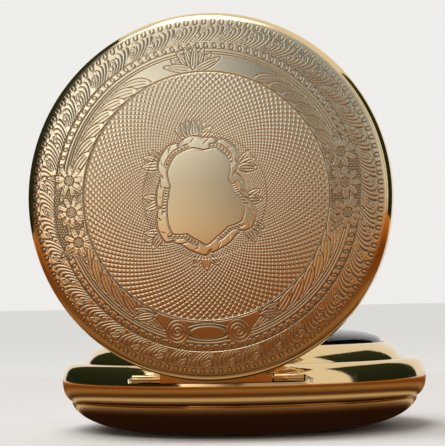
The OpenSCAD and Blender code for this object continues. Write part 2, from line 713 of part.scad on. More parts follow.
module main_plate() color(BRASS) difference() {
    union() {
        translate([0, 0, plate_z]) cylinder(r = movement_r, h = plate_t);
        tube(movement_r, movement_r - plate_rim_w, plate_top_z - end_gap, dial_z);
        for (p = pillars) post(p, bridge_top_z, pillar_r);
        for (p = board_posts) post(p, board_z + board_t, post_r);
        for (side = [-1, 1]) post([coil_x - 0.1, side*core_end_y], stator_z + stator_t, post_r);
        post(clamp_xy, battery_z, pillar_r);
    }
    // Recess of the motion work, then the stem's channel
    translate([0, 0, recess_z]) cylinder(r = motion_r, h = plate_t);
    translate([-stem_channel_w/2, 0, recess_z]) cube([stem_channel_w, groove_y + 1.5, plate_t]);
    translate([-stem_channel_w/2, stem_in_y - push_travel - end_gap, stem_z - stem_pinion_r - fit_gap])
        cube([stem_channel_w, stem_pinion_l + push_travel + pull_travel + 2*end_gap, plate_t + 1]);
    along_y(stem_in_y, movement_r + 1, stem_d/2 + run_gap);
    translate([-stem_channel_w/2, groove_y - 1.5, recess_z])
        cube([lever_pivot[0], 1.5 + pull_travel + 2*lever_pin_r + end_gap, plate_t]);
    // Room for the setting lever, which stands above the plate
    translate([-stem_channel_w/2, groove_y - lever_end_r - end_gap, lever_z - fit_gap])
        cube([stem_channel_w/2 + lever_pivot[0] + lever_end_r + end_gap,
            2*lever_end_r + 2*end_gap, plate_t]);
    translate([battery_xy[0], battery_xy[1], 0])
        cylinder(r = battery_d/2 + fit_gap, h = battery_z + battery_t + fit_gap);
    cylinder(r = centre_tube_r + run_gap, h = through_z);
    for (p = [third_xy, fifth_xy, rotor_xy]) translate([p[0], p[1], 0])
        cylinder(r = arbor_r + run_gap, h = plate_z + 0.5);
    for (p = [minute_xy, setting_xy]) translate([p[0], p[1], recess_z - 0.5])
        cylinder(r = arbor_r + run_gap, h = plate_t);
    translate([lever_pivot[0], lever_pivot[1], recess_z - 0.5])
        cylinder(r = arbor_r + run_gap, h = plate_t);
    for (p = pillars) translate([p[0], p[1], 0]) cylinder(r = screw_r, h = plate_z + 0.6);
    for (p = dial_feet) translate([p[0], p[1], plate_z + foot_end_h - end_gap])
        cylinder(r = foot_r + run_gap, h = dial_z - plate_z);
    translate([clamp_xy[0], clamp_xy[1], 0]) cylinder(r = screw_r, h = plate_z + 0.6);
}

module train_bridge() color(NICKEL) difference() {
    translate([0, 0, bridge_z]) linear_extrude(bridge_t) hull() {
        for (p = pillars) translate(p) circle(r = pillar_r + bridge_lap, $fn = 32);
        translate(rotor_xy) circle(r = bridge_end_r, $fn = 32);
        translate(third_xy) circle(r = bridge_end_r, $fn = 32);
    }
    for (p = [[0, 0], third_xy, fifth_xy, rotor_xy]) translate([p[0], p[1], 0])
        cylinder(r = seconds_arbor_r + run_gap, h = plate_z);
    for (p = pillars) translate([p[0], p[1], 0]) cylinder(r = screw_r + run_gap, h = plate_z);
}

module cheese_screw(l) {
    translate([0, 0, -0.3]) difference() {
        cylinder(r = 0.85, h = 0.3);
        translate([-1, -0.1, -1]) cube([2, 0.2, 1.12]);
    }
    cylinder(r = screw_r, h = l);
}

module bridge_screws() color(STEEL) for (p = pillars)
    translate([p[0], p[1], bridge_z]) cheese_screw(plate_z + 0.5 - bridge_z);

module battery() color(STEEL) translate([battery_xy[0], battery_xy[1], battery_z]) {
    cylinder(r = battery_d/2, h = battery_t - 0.6);
    translate([0, 0, battery_t - 0.6]) cylinder(r = battery_d/2 - 0.4, h = 0.6);
}

module battery_clamp() color(NICKEL) difference() {
    translate([0, 0, battery_z - clamp_t]) linear_extrude(clamp_t) hull() {
        translate(clamp_xy) circle(r = 1.1, $fn = 32);
        translate(battery_xy + [-0.6, -0.4]) circle(r = 1.8, $fn = 32);
    }
    translate([clamp_xy[0], clamp_xy[1], 0]) cylinder(r = screw_r + run_gap, h = plate_z);
}

module clamp_screw() color(STEEL) translate([clamp_xy[0], clamp_xy[1], battery_z - clamp_t])
    cheese_screw(plate_z + 0.7 - battery_z);

module circuit_board() color(GREEN) translate([0, 0, board_z]) linear_extrude(board_t)
    intersection() {
        circle(r = movement_r - board_in);
        translate([-board_w/2, -movement_r]) square([board_w, movement_r + board_edge_y]);
    }

module quartz_can() color(STEEL) translate([-can_l - 0.2, board_mid_y, board_z + board_t + can_r])
    rotate([0, 90, 0]) cylinder(r = can_r, h = can_l);

module chip() color(BLACK) translate([1.25*chip_w, board_mid_y, board_z + board_t])
    linear_extrude(0.6) square([chip_w, chip_w], center = true);

module coil() color(COPPER) translate([coil_x, 0, coil_z]) rotate([90, 0, 0]) difference() {
    cylinder(r = coil_r, h = coil_l, center = true);
    cylinder(r = core_r + run_gap, h = coil_l + 1, center = true);
}

module coil_core() color(STEEL) {
    translate([coil_x, 0, coil_z]) rotate([90, 0, 0])
        cylinder(r = core_r, h = 2*core_end_y - core_foot_l, center = true);
    for (side = [-1, 1]) translate([coil_x, side*core_end_y, coil_z])
        cube([core_foot_w, core_foot_l, core_end_t], center = true);
}

// Flat arm of the stator, from a round end to its elbow beside the coil
module stator_arm(from, from_r, elbow) {
    hull() {
        translate(from) circle(r = from_r, $fn = 32);
        translate(elbow) circle(r = core_foot_l/2, $fn = 32);
    }
}

module stator() color(STEEL) translate([0, 0, stator_z]) linear_extrude(stator_t)
    difference() {
        union() {
            translate(rotor_xy) circle(r = magnet_r + 0.7);
            for (side = [-1, 1]) {
                stator_arm(rotor_xy + [0.8, side*0.9], 0.9, [elbow_x, side*core_end_y]);
                stator_arm([coil_x - 0.1, side*core_end_y], core_foot_l/2,
                    [elbow_x, side*core_end_y]);
            }
        }
        translate(rotor_xy) circle(r = magnet_r + 0.15);
        translate(rotor_xy + [magnet_r + 0.1, -0.1]) square([4, 0.2]);
    }

module arbor(xy, z0, z1, r = arbor_r) {
    translate([xy[0], xy[1], z0]) cylinder(r = r, h = z1 - z0);
}

// Arbor with thin pivots that run in the bridge and in the plate
module train_arbor(xy) {
    arbor(xy, bridge_z + 0.05, plate_z, seconds_arbor_r);
    arbor(xy, bridge_top_z + 0.03, plate_z + 0.4);
}

module rotor() color(BLACK) {
    train_arbor(rotor_xy);
    translate([rotor_xy[0], rotor_xy[1], fifth_z - 0.05])
        gear(rotor_teeth, step_module, wheel_t + 0.1, rotor_turn);
    translate([rotor_xy[0], rotor_xy[1], fifth_z + wheel_t + 0.1])
        cylinder(r = magnet_r, h = magnet_h);
}

module fifth_wheel() color(BRASS) {
    train_arbor(fifth_xy);
    translate([fifth_xy[0], fifth_xy[1], fifth_z]) gear(fifth_teeth, step_module, wheel_t, fifth_turn);
    translate([fifth_xy[0], fifth_xy[1], fifth_z + wheel_t])
        gear(fifth_pinion_teeth, step_module, wheel_t + 0.3, fifth_turn);
}

module seconds_wheel() color(BRASS) {
    arbor([0, 0], bridge_z + 0.05, seconds_hand_z + hand_t + 0.1, seconds_arbor_r);
    translate([0, 0, seconds_z]) gear(seconds_teeth, step_module, wheel_t);
    translate([0, 0, seconds_z + wheel_t]) gear(seconds_pinion_teeth, third_module, wheel_t + 0.2);
}

module third_wheel() color(BRASS) {
    train_arbor(third_xy);
    translate([third_xy[0], third_xy[1], third_z]) gear(third_teeth, third_module, wheel_t, third_turn);
    translate([third_xy[0], third_xy[1], third_z + wheel_t])
        gear(third_pinion_teeth, centre_module, wheel_t + 0.3, third_turn);
}

module centre_wheel() color(BRASS) difference() {
    union() {
        translate([0, 0, centre_z]) gear(centre_teeth, centre_module, wheel_t, centre_turn);
        arbor([0, 0], centre_z, minute_hand_z - 0.2, centre_tube_r);
    }
    cylinder(r = seconds_arbor_r + run_gap, h = through_z);
}

module cannon_pinion() color(STEEL) difference() {
    union() {
        translate([0, 0, cannon_z]) gear(cannon_teeth, cannon_module, 0.4);
        arbor([0, 0], cannon_z, minute_hand_z + hand_t + 0.05, cannon_tube_r);
    }
    cylinder(r = centre_tube_r + run_gap, h = through_z);
}

module minute_wheel() color(BRASS) {
    arbor(minute_xy, recess_z - 0.4, hour_z + wheel_t + 0.05);
    translate([minute_xy[0], minute_xy[1], minute_z])
        gear(minute_teeth, cannon_module, wheel_t, minute_turn);
    translate([minute_xy[0], minute_xy[1], minute_z + wheel_t])
        gear(minute_pinion_teeth, hour_module, wheel_t + 0.3, minute_turn);
}

module hour_wheel() color(BRASS) difference() {
    union() {
        translate([0, 0, hour_z]) gear(hour_teeth, hour_module, wheel_t, hour_turn);
        arbor([0, 0], hour_z, hour_hand_z + hand_t, hour_pipe_r);
    }
    cylinder(r = cannon_tube_r + run_gap, h = through_z);
}

module setting_wheel() color(STEEL) {
    arbor(setting_xy, recess_z - 0.4, minute_z + wheel_t + 0.1);
    translate([setting_xy[0], setting_xy[1], minute_z])
        gear(setting_teeth, cannon_module, wheel_t, setting_turn);
}

module setting_lever() color(STEEL) {
    translate([0, 0, lever_z]) linear_extrude(lever_t) hull() {
        translate(lever_pivot) circle(r = lever_end_r, $fn = 32);
        translate([0, groove_y]) circle(r = 0.45, $fn = 32);
    }
    arbor([0, groove_y], stem_z + groove_r + run_gap, lever_z + 0.1, lever_pin_r);
    arbor(lever_pivot, recess_z - 0.4, lever_z + 0.1);
}

module dial() color(ENAMEL) difference() {
    union() {
        translate([0, 0, dial_z]) cylinder(r = dial_r, h = dial_t);
        for (p = dial_feet) translate([p[0], p[1], plate_z + foot_end_h])
            cylinder(r = foot_r, h = dial_z + dial_t/2 - plate_z - foot_end_h);
    }
    cylinder(r = hour_pipe_r + 0.15, h = through_z);
}

// A spade hand with a round boss, drawn towards twelve o'clock
module spade_hand(l, spade_r, boss_r, bore) difference() {
    union() {
        circle(r = boss_r);
        polygon([[-0.28, 0], [0.28, 0], [0.16, l - spade_r*2.6], [-0.16, l - spade_r*2.6]]);
        translate([0, l - spade_r*3.2]) circle(r = spade_r);
        polygon([[-0.35*spade_r - 0.12, l - spade_r*2.5], [0.35*spade_r + 0.12, l - spade_r*2.5],
            [0.05, l], [-0.05, l]]);
    }
    circle(r = bore);
}

module hour_hand() color(BLACK) translate([0, 0, hour_hand_z]) rotate(-shown_minutes/2)
    linear_extrude(hand_t) spade_hand(hour_hand_l, 1.1, 1.5, hour_pipe_r);

module minute_hand() color(BLACK) translate([0, 0, minute_hand_z]) rotate(-shown_minutes*6)
    linear_extrude(hand_t) spade_hand(minute_hand_l, 0.9, 1.2, cannon_tube_r);

module seconds_hand() color(BLACK) translate([0, 0, seconds_hand_z]) rotate(-shown_seconds*6)
    linear_extrude(hand_t) difference() {
        union() {
            circle(r = 0.7);
            polygon([[-0.2, -seconds_tail_l], [0.2, -seconds_tail_l], [0.05, seconds_hand_l],
                [-0.05, seconds_hand_l]]);
        }
        circle(r = seconds_arbor_r);
    }

module seconds_cap() color(BLACK) translate([0, 0, seconds_hand_z + hand_t])
    difference() {
        cylinder(r = 0.45, h = 0.25);
        cylinder(r = seconds_arbor_r, h = 0.1);
    }

case_middle();
case_back();
bezel();
crystal();
crystal_gasket();
front_cover();
cover_knuckle();
hinge_knuckles();
hinge_pin();
pendant();
bow();
bow_screws();
crown();
setting_stem();
push_sleeve();
detent_collar();
lock_spring();
lift_spring();
spring_screws();
movement_holder();
main_plate();
train_bridge();
bridge_screws();
battery();
battery_clamp();
clamp_screw();
circuit_board();
quartz_can();
chip();
coil();
coil_core();
stator();
rotor();
fifth_wheel();
seconds_wheel();
third_wheel();
centre_wheel();
cannon_pinion();
minute_wheel();
hour_wheel();
setting_wheel();
setting_lever();
dial();
hour_hand();
minute_hand();
seconds_hand();
seconds_cap();
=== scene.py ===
"""Dresses a gold hunter-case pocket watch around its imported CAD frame.

The cover stands open on its hinge, as in the photograph. Sizes are in millimetres and are turned
into metres where a mesh is made. The cover's ornament is worked out with the cover closed, where
x points right and y up in the photograph, and the finished pieces are then turned open.
"""
import logging
import math
from dataclasses import dataclass, field
from enum import Enum
from typing import ClassVar, Iterator, Optional, Sequence

import bmesh
import bpy
import numpy as np
from mathutils import Matrix, Vector


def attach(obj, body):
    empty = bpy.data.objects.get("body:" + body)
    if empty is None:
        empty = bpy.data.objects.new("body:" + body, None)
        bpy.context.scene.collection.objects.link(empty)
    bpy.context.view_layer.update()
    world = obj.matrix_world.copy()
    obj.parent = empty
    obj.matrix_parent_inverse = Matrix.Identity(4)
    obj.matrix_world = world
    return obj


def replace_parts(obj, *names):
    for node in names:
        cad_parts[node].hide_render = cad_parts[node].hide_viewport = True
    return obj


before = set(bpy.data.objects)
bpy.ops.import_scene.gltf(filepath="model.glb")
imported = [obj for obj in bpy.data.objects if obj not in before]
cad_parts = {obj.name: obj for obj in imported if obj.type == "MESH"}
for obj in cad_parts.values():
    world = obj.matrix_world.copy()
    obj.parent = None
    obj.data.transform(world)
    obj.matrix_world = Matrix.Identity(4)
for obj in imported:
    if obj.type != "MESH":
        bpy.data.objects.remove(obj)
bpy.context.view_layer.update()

MM = 0.001
WELD = 0.0005 * MM
CLOSE = 1e-5
TURN = 2 * math.pi
LOG = logging.getLogger("watch")

Pair = tuple[float, float]
Triple = tuple[float, float, float]
Colour = Triple
Socket = bpy.types.NodeSocket


class Body(Enum):
    """Moving bodies of the frame that new pieces ride on."""

    CASE = "case"
    COVER = "cover"
    BOW = "bow"
    CROWN = "crown"


class Slot(Enum):
    """Material slots of the record, passed with new pieces but not given to them."""

    GOLD_CASE = "gold_case"
    GOLD_COVER = "gold_cover"
    CRYSTAL = "crystal"
    HANDS = "hands"


class Run(Enum):
    """Way in which a stage card's colour changes."""

    ACROSS = "X"
    UP = "Z"
    OUT = "distance from the origin"


# Finishes


class Shader:
    """Node tree of one material, with short ways to add and join its nodes."""

    def __init__(self, name: str, **numbers: float) -> None:
        """Start a material that holds one Principled shader.

        Args:
            name: Name of the material.
            numbers: Numbers for the shader's own sockets, with _ for a space in a name.
        """
        self.material = bpy.data.materials.new(name)
        self.material.use_nodes = True
        self.tree = self.material.node_tree
        self.surface = self.tree.nodes["Principled BSDF"]
        self.place = self.add("ShaderNodeTexCoord").outputs["Object"]
        for socket, number in numbers.items():
            self.surface.inputs[socket.replace("_", " ")].default_value = number

    def add(self, kind: str, **settings: object) -> bpy.types.Node:
        """Add a node.

        Args:
            kind: Type of the node.
            settings: Properties to set on it.

        Returns:
            The new node.
        """
        node = self.tree.nodes.new(kind)
        for key, value in settings.items():
            setattr(node, key, value)
        return node

    def join(self, source: Socket, node: bpy.types.Node, socket: object) -> None:
        """Link an output to a node's input, by its name or number."""
        self.tree.links.new(source, node.inputs[socket])

    def turned(self, degrees: Triple, scale: Triple) -> Socket:
        """Object coordinates after a Mapping node.

        Args:
            degrees: Turn about each axis.
            scale: Factor along each axis.

        Returns:
            The mapped coordinates.
        """
        node = self.add("ShaderNodeMapping")
        node.inputs["Rotation"].default_value = [math.radians(value) for value in degrees]
        node.inputs["Scale"].default_value = scale
        self.join(self.place, node, "Vector")
        return node.outputs["Vector"]

    def length(self, run: Run) -> Socket:
        """Length along one way of the object coordinates.

        Args:
            run: The way.

        Returns:
            The length in metres.
        """
        if run is Run.OUT:
            node = self.add("ShaderNodeVectorMath", operation="LENGTH")
            self.join(self.place, node, 0)
            return node.outputs["Value"]
        node = self.add("ShaderNodeSeparateXYZ")
        self.join(self.place, node, "Vector")
        return node.outputs[run.value]

    def noise(self, grain: float, detail: float = 3, place: Optional[Socket] = None) -> Socket:
        """Noise whose features are about one grain wide.

        Args:
            grain: Size of a feature in millimetres.
            detail: Octaves of finer noise.
            place: Coordinates to read, the object's own by default.

        Returns:
            The noise value, from 0 to 1.
        """
        node = self.add("ShaderNodeTexNoise")
        node.inputs["Scale"].default_value = 1 / (grain * MM)
        node.inputs["Detail"].default_value = detail
        self.join(place or self.place, node, "Vector")
        return node.outputs["Fac"]

    def ramp(self, value: Socket, low: float, high: float, low_to: float = 0,
             high_to: float = 1) -> Socket:
        """Map a value from one range to another and hold it there.

        Args:
            value: Socket that gives the value.
            low: Value that becomes low_to.
            high: Value that becomes high_to.
            low_to: Result at low.
            high_to: Result at high.

        Returns:
            The mapped value.
        """
        node = self.add("ShaderNodeMapRange")
        for socket, number in zip(("From Min", "From Max", "To Min", "To Max"),
                                  (low, high, low_to, high_to)):
            node.inputs[socket].default_value = number
        self.join(value, node, "Value")
        return node.outputs["Result"]

    def gradient(self, value: Socket, stops: Sequence[tuple[float, Sequence[float]]]) -> Socket:
        """Colour that changes through several stops along a length.

        Args:
            value: Socket that gives the length in metres.
            stops: Lengths in millimetres, in order, and the colour at each.

        Returns:
            The colour.
        """
        node = self.add("ShaderNodeValToRGB")
        for _ in stops[2:]:
            node.color_ramp.elements.new(1)
        first, last = stops[0][0], stops[-1][0]
        for element, (spot, colour) in zip(node.color_ramp.elements, stops):
            element.position = (spot - first) / (last - first)
            element.color = (*colour, 1)
        self.join(self.ramp(value, first * MM, last * MM), node, "Fac")
        return node.outputs["Color"]

    def paint(self, share: Socket, first: Colour, second: Colour) -> None:
        """Colour the surface with a mix of two colours.

        Args:
            share: Share of the second colour.
            first: First colour.
            second: Second colour.
        """
        node = self.add("ShaderNodeMix", data_type="RGBA")
        for name, colour in (("A", first), ("B", second)):
            for socket in node.inputs:
                if socket.name == name and socket.type == "RGBA":
                    socket.default_value = (*colour, 1)
        self.join(share, node, "Factor")
        mixed = next(out for out in node.outputs if out.type == "RGBA")
        self.join(mixed, self.surface, "Base Color")

    def roughen(self, value: Socket, low: float, high: float, smooth: float, dull: float) -> None:
        """Make the surface smooth where a value is low and dull where it is high."""
        self.join(self.ramp(value, low, high, smooth, dull), self.surface, "Roughness")

    def bump(self, height: Socket, depth: float) -> None:
        """Let a height value dent the surface.

        Args:
            height: Socket that gives the height, from 0 to 1.
            depth: Depth in millimetres between 0 and 1.
        """
        node = self.add("ShaderNodeBump")
        node.inputs["Distance"].default_value = depth * MM
        self.join(height, node, "Height")
        self.join(node.outputs["Normal"], self.surface, "Normal")


def shade(colour: Colour, share: float) -> Colour:
    """A colour at a share of its brightness."""
    return tuple(share * value for value in colour)


@dataclass(frozen=True)
class PolishedGold:
    """Bright gold plate with faint wiping marks."""

    name: str = "polished_gold"
    colour: Colour = (0.86, 0.66, 0.36)
    worn: Colour = (0.80, 0.57, 0.28)
    smooth: float = 0.055
    dull: float = 0.13
    patch_w: float = 9
    smear_w: float = 2.5
    smear_turn: Triple = (20, 35, 10)
    smear_scale: Triple = (1, 3, 1)
    ripple_w: float = 0.9
    ripple_depth: float = 0.0015

    def make(self) -> bpy.types.Material:
        """Make the finish.

        Returns:
            The new material.
        """
        shader = Shader(self.name, Metallic=1)
        shader.paint(shader.noise(self.patch_w), self.colour, self.worn)
        smear = shader.noise(self.smear_w, 5, shader.turned(self.smear_turn, self.smear_scale))
        shader.roughen(smear, 0.35, 0.7, self.smooth, self.dull)
        shader.bump(shader.noise(self.ripple_w, 2), self.ripple_depth)
        return shader.material


@dataclass(frozen=True)
class ChasedGold:
    """Gold plate of the chased cover, duller in its cuts and darkened there by painted shade."""

    name: str = "chased_gold"
    colour: Colour = (0.79, 0.64, 0.41)
    # Painted shade: the colour that the deepest cuts take, in place of the shade in their grooves.
    cut: Colour = (0.20, 0.14, 0.07)
    plain_rough: float = 0.17
    cut_rough: float = 0.42
    grain: float = 0.12
    grain_depth: float = 0.004

    def make(self) -> bpy.types.Material:
        """Make the finish, which reads the painted shade of each cut from the mesh.

        Returns:
            The new material.
        """
        shader = Shader(self.name, Metallic=1)
        painted_shade = shader.add("ShaderNodeAttribute", attribute_name=Chasing.ATTRIBUTE).outputs["Fac"]
        # Painted shade darkens the colour where the cut is deep; the roughness rises there too.
        shader.paint(shader.ramp(painted_shade, 0.1, 0.9), self.colour, self.cut)
        shader.roughen(painted_shade, 0, 1, self.plain_rough, self.cut_rough)
        shader.bump(shader.noise(self.grain, 2), self.grain_depth)
        return shader.material


@dataclass(frozen=True)
class Metal:
    """Plain metal of the movement, with a turned or brushed grain."""

    name: str
    colour: Colour
    rough: float = 0.25
    grain: Triple = (1, 14, 1)
    grain_w: float = 0.6
    grain_depth: float = 0.002
    darker: float = 0.82

    def make(self) -> bpy.types.Material:
        """Make the finish.

        Returns:
            The new material.
        """
        shader = Shader(self.name, Metallic=1)
        brushed = shader.noise(self.grain_w, 4, shader.turned((0, 0, 0), self.grain))
        shader.paint(brushed, self.colour, shade(self.colour, self.darker))
        shader.roughen(brushed, 0.3, 0.7, 0.7 * self.rough, 1.3 * self.rough)
        shader.bump(brushed, self.grain_depth)
        return shader.material


@dataclass(frozen=True)
class Moulded:
    """Moulded plastic, rubber, lacquer or enamel with a fine uneven skin."""

    name: str
    colour: Colour
    rough: float
    skin: float = 0.2
    coat: float = 0
    skin_depth: float = 0.003
    cloud_w: float = 3
    darker: float = 0.93

    def make(self) -> bpy.types.Material:
        """Make the finish.

        Returns:
            The new material.
        """
        shader = Shader(self.name, Coat_Weight=self.coat)
        shader.paint(shader.noise(self.cloud_w, 4), self.colour, shade(self.colour, self.darker))
        shader.roughen(shader.noise(1.2), 0.3, 0.7, 0.85 * self.rough, 1.15 * self.rough)
        shader.bump(shader.noise(self.skin, 2), self.skin_depth)
        return shader.material


@dataclass(frozen=True)
class Wound:
    """Fine copper wire wound side by side along the Y axis."""

    name: str = "copper_winding"
    colour: Colour = (0.72, 0.33, 0.16)
    wire: float = 0.12
    wave_rate: float = 20
    darker: float = 0.45
    depth: float = 0.02

    def make(self) -> bpy.types.Material:
        """Make the finish, whose wave texture turns wave_rate radians over a unit.

        Returns:
            The new material.
        """
        shader = Shader(self.name, Metallic=0.8, Roughness=0.32)
        wave = shader.add("ShaderNodeTexWave", bands_direction="Y")
        wave.inputs["Scale"].default_value = TURN / self.wave_rate / (self.wire * MM)
        wave.inputs["Distortion"].default_value = 0.4
        shader.join(shader.place, wave, "Vector")
        turns = wave.outputs["Fac"]
        shader.paint(turns, shade(self.colour, self.darker), self.colour)
        shader.bump(turns, self.depth)
        return shader.material


@dataclass(frozen=True)
class Crystal:
    """Clear mineral crystal with a trace of dust."""

    name: str = "mineral_crystal"
    tint: Colour = (0.97, 0.97, 0.98)
    dust_w: float = 1.5
    dull: float = 0.04

    def make(self) -> bpy.types.Material:
        """Make the finish.

        Returns:
            The new material.
        """
        shader = Shader(self.name, Transmission_Weight=1, IOR=1.5)
        shader.surface.inputs["Base Color"].default_value = (*self.tint, 1)
        shader.roughen(shader.noise(self.dust_w), 0.45, 0.75, 0, self.dull)
        return shader.material


class Finish(Enum):
    """Every finish of the watch."""

    GOLD = PolishedGold()
    CHASED = ChasedGold()
    GLASS = Crystal()
    STEEL = Metal("spring_steel", (0.62, 0.63, 0.65), 0.2)
    NICKEL = Metal("satin_nickel", (0.72, 0.71, 0.68), 0.28, (9, 1, 1))
    BRASS = Metal("satin_brass", (0.78, 0.60, 0.30), 0.27, (1, 1, 6))
    NYLON = Moulded("moulded_nylon", (0.84, 0.83, 0.78), 0.55)
    RUBBER = Moulded("gasket_rubber", (0.03, 0.03, 0.032), 0.7)
    BOARD = Moulded("solder_mask", (0.02, 0.16, 0.07), 0.3, 0.5, 0.4)
    EPOXY = Moulded("black_epoxy", (0.025, 0.025, 0.028), 0.6)
    COPPER = Wound()
    ENAMEL = Moulded("dial_enamel", (0.88, 0.87, 0.84), 0.18, 0.8, 0.5)
    LACQUER = Moulded("black_lacquer", (0.012, 0.012, 0.014), 0.2, 0.4, 0.3)


Palette = dict[Finish, bpy.types.Material]


# Mesh helpers


def welded(node: str) -> bmesh.types.BMesh:
    """A CAD node's mesh, copied and merged.

    Args:
        node: Name of the node.

    Returns:
        The new bmesh, in metres.
    """
    bm = bmesh.new()
    bm.from_mesh(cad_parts[node].data)
    bmesh.ops.remove_doubles(bm, verts=bm.verts, dist=WELD)
    return bm


def into_mesh(name: str, bm: bmesh.types.BMesh) -> bpy.types.Mesh:
    """Turn a bmesh into a mesh, and free it.

    Args:
        name: Name of the mesh.
        bm: The bmesh.

    Returns:
        The new mesh.
    """
    mesh = bpy.data.meshes.new(name)
    bm.to_mesh(mesh)
    bm.free()
    return mesh


def resize(bm: bmesh.types.BMesh, factor: float) -> None:
    """Scale a whole bmesh about the origin."""
    bmesh.ops.scale(bm, verts=bm.verts, vec=(factor, factor, factor))


def added(name: str, data: bpy.types.ID) -> bpy.types.Object:
    """Add an object to the scene.

    Args:
        name: Name of the object.
        data: Its mesh, lamp or camera.

    Returns:
        The new object.
    """
    thing = bpy.data.objects.new(name, data)
    bpy.context.scene.collection.objects.link(thing)
    return thing


def finish_piece(name: str, bm: bmesh.types.BMesh, material: bpy.types.Material, body: Body,
                 slot: Slot, crease: float = 28) -> bpy.types.Object:
    """Turn a bmesh into a smooth piece that rides on a body.

    Args:
        name: Name of the piece.
        bm: Its mesh in metres, which is freed.
        material: Its finish.
        body: Body that it rides on.
        slot: The record's slot, not used.
        crease: Angle in degrees from which an edge stays sharp.

    Returns:
        The new object.
    """
    mesh = into_mesh(name, bm)
    mesh.shade_smooth()
    mesh.set_sharp_from_angle(angle=math.radians(crease))
    mesh.materials.append(material)
    piece = added(name, mesh)
    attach(piece, body.value)
    LOG.info("%s: %d faces on %s", name, len(mesh.polygons), body.value)
    return piece


def spun(profile: Sequence[Pair], steps: int, closed: bool) -> bmesh.types.BMesh:
    """Spin a profile round the Z axis.

    Args:
        profile: Points (radius, height) in millimetres.
        steps: Number of steps in the full turn.
        closed: Whether the last point joins the first.

    Returns:
        The spun mesh in millimetres, with its faces pointing outwards.
    """
    bm = bmesh.new()
    points = [bm.verts.new((radius, 0, height)) for radius, height in profile]
    ends = points[1:] + points[:1] if closed else points[1:]
    edges = [bm.edges.new(pair) for pair in zip(points, ends)]
    bmesh.ops.spin(bm, geom=points + edges, cent=(0, 0, 0), axis=(0, 0, 1), angle=TURN,
                   steps=steps, use_merge=True)
    bmesh.ops.remove_doubles(bm, verts=bm.verts, dist=CLOSE)
    bmesh.ops.recalc_face_normals(bm, faces=bm.faces)
    return bm


def bezier(start: Pair, control: Pair, end: Pair, steps: int) -> list[Pair]:
    """Points of a quadratic curve, both ends included.

    Args:
        start: First point.
        control: Control point.
        end: Last point.
        steps: Number of steps.

    Returns:
        The points along the curve.
    """
    shares = [i / steps for i in range(steps + 1)]
    return [tuple((1 - t) ** 2 * a + 2 * t * (1 - t) * c + t * t * e
                  for a, c, e in zip(start, control, end)) for t in shares]


def polar(radius: float, degrees: float) -> Pair:
    """Point at a radius and an angle."""
    return radius * math.cos(math.radians(degrees)), radius * math.sin(math.radians(degrees))


# The cover's ornament

Grid = np.ndarray
Drawn = tuple[Grid, Grid]


def line(distance: Grid, width: float = 0.1) -> Grid:
    """Round line, 1 where the distance is 0 and 0 from the width on."""
    return np.clip(1 - (distance / width) ** 2, 0, 1)


def step(value: Grid, low: float, high: float) -> Grid:
    """Smooth step from 0 at low to 1 at high."""
    share = np.clip((value - low) / (high - low), 0, 1)
    return share * share * (3 - 2 * share)


def fall(value: Grid, low: float, high: float) -> Grid:
    """Smooth step from 1 at low to 0 at high."""
    return step(-value, -high, -low)


@dataclass(frozen=True)
class Places:
    """Places on the closed cover, x across and y up, in millimetres."""

    x: Grid
    y: Grid

    @property
    def r(self) -> Grid:
        """Distance of each place from the centre."""
        return np.hypot(self.x, self.y)

    @property
    def a(self) -> Grid:
        """Angle of each place round the centre."""
        return np.arctan2(self.y, self.x)

    def about(self, centre: Pair) -> "Places":
        """The same places, measured from another centre."""
        return Places(self.x - centre[0], self.y - centre[1])


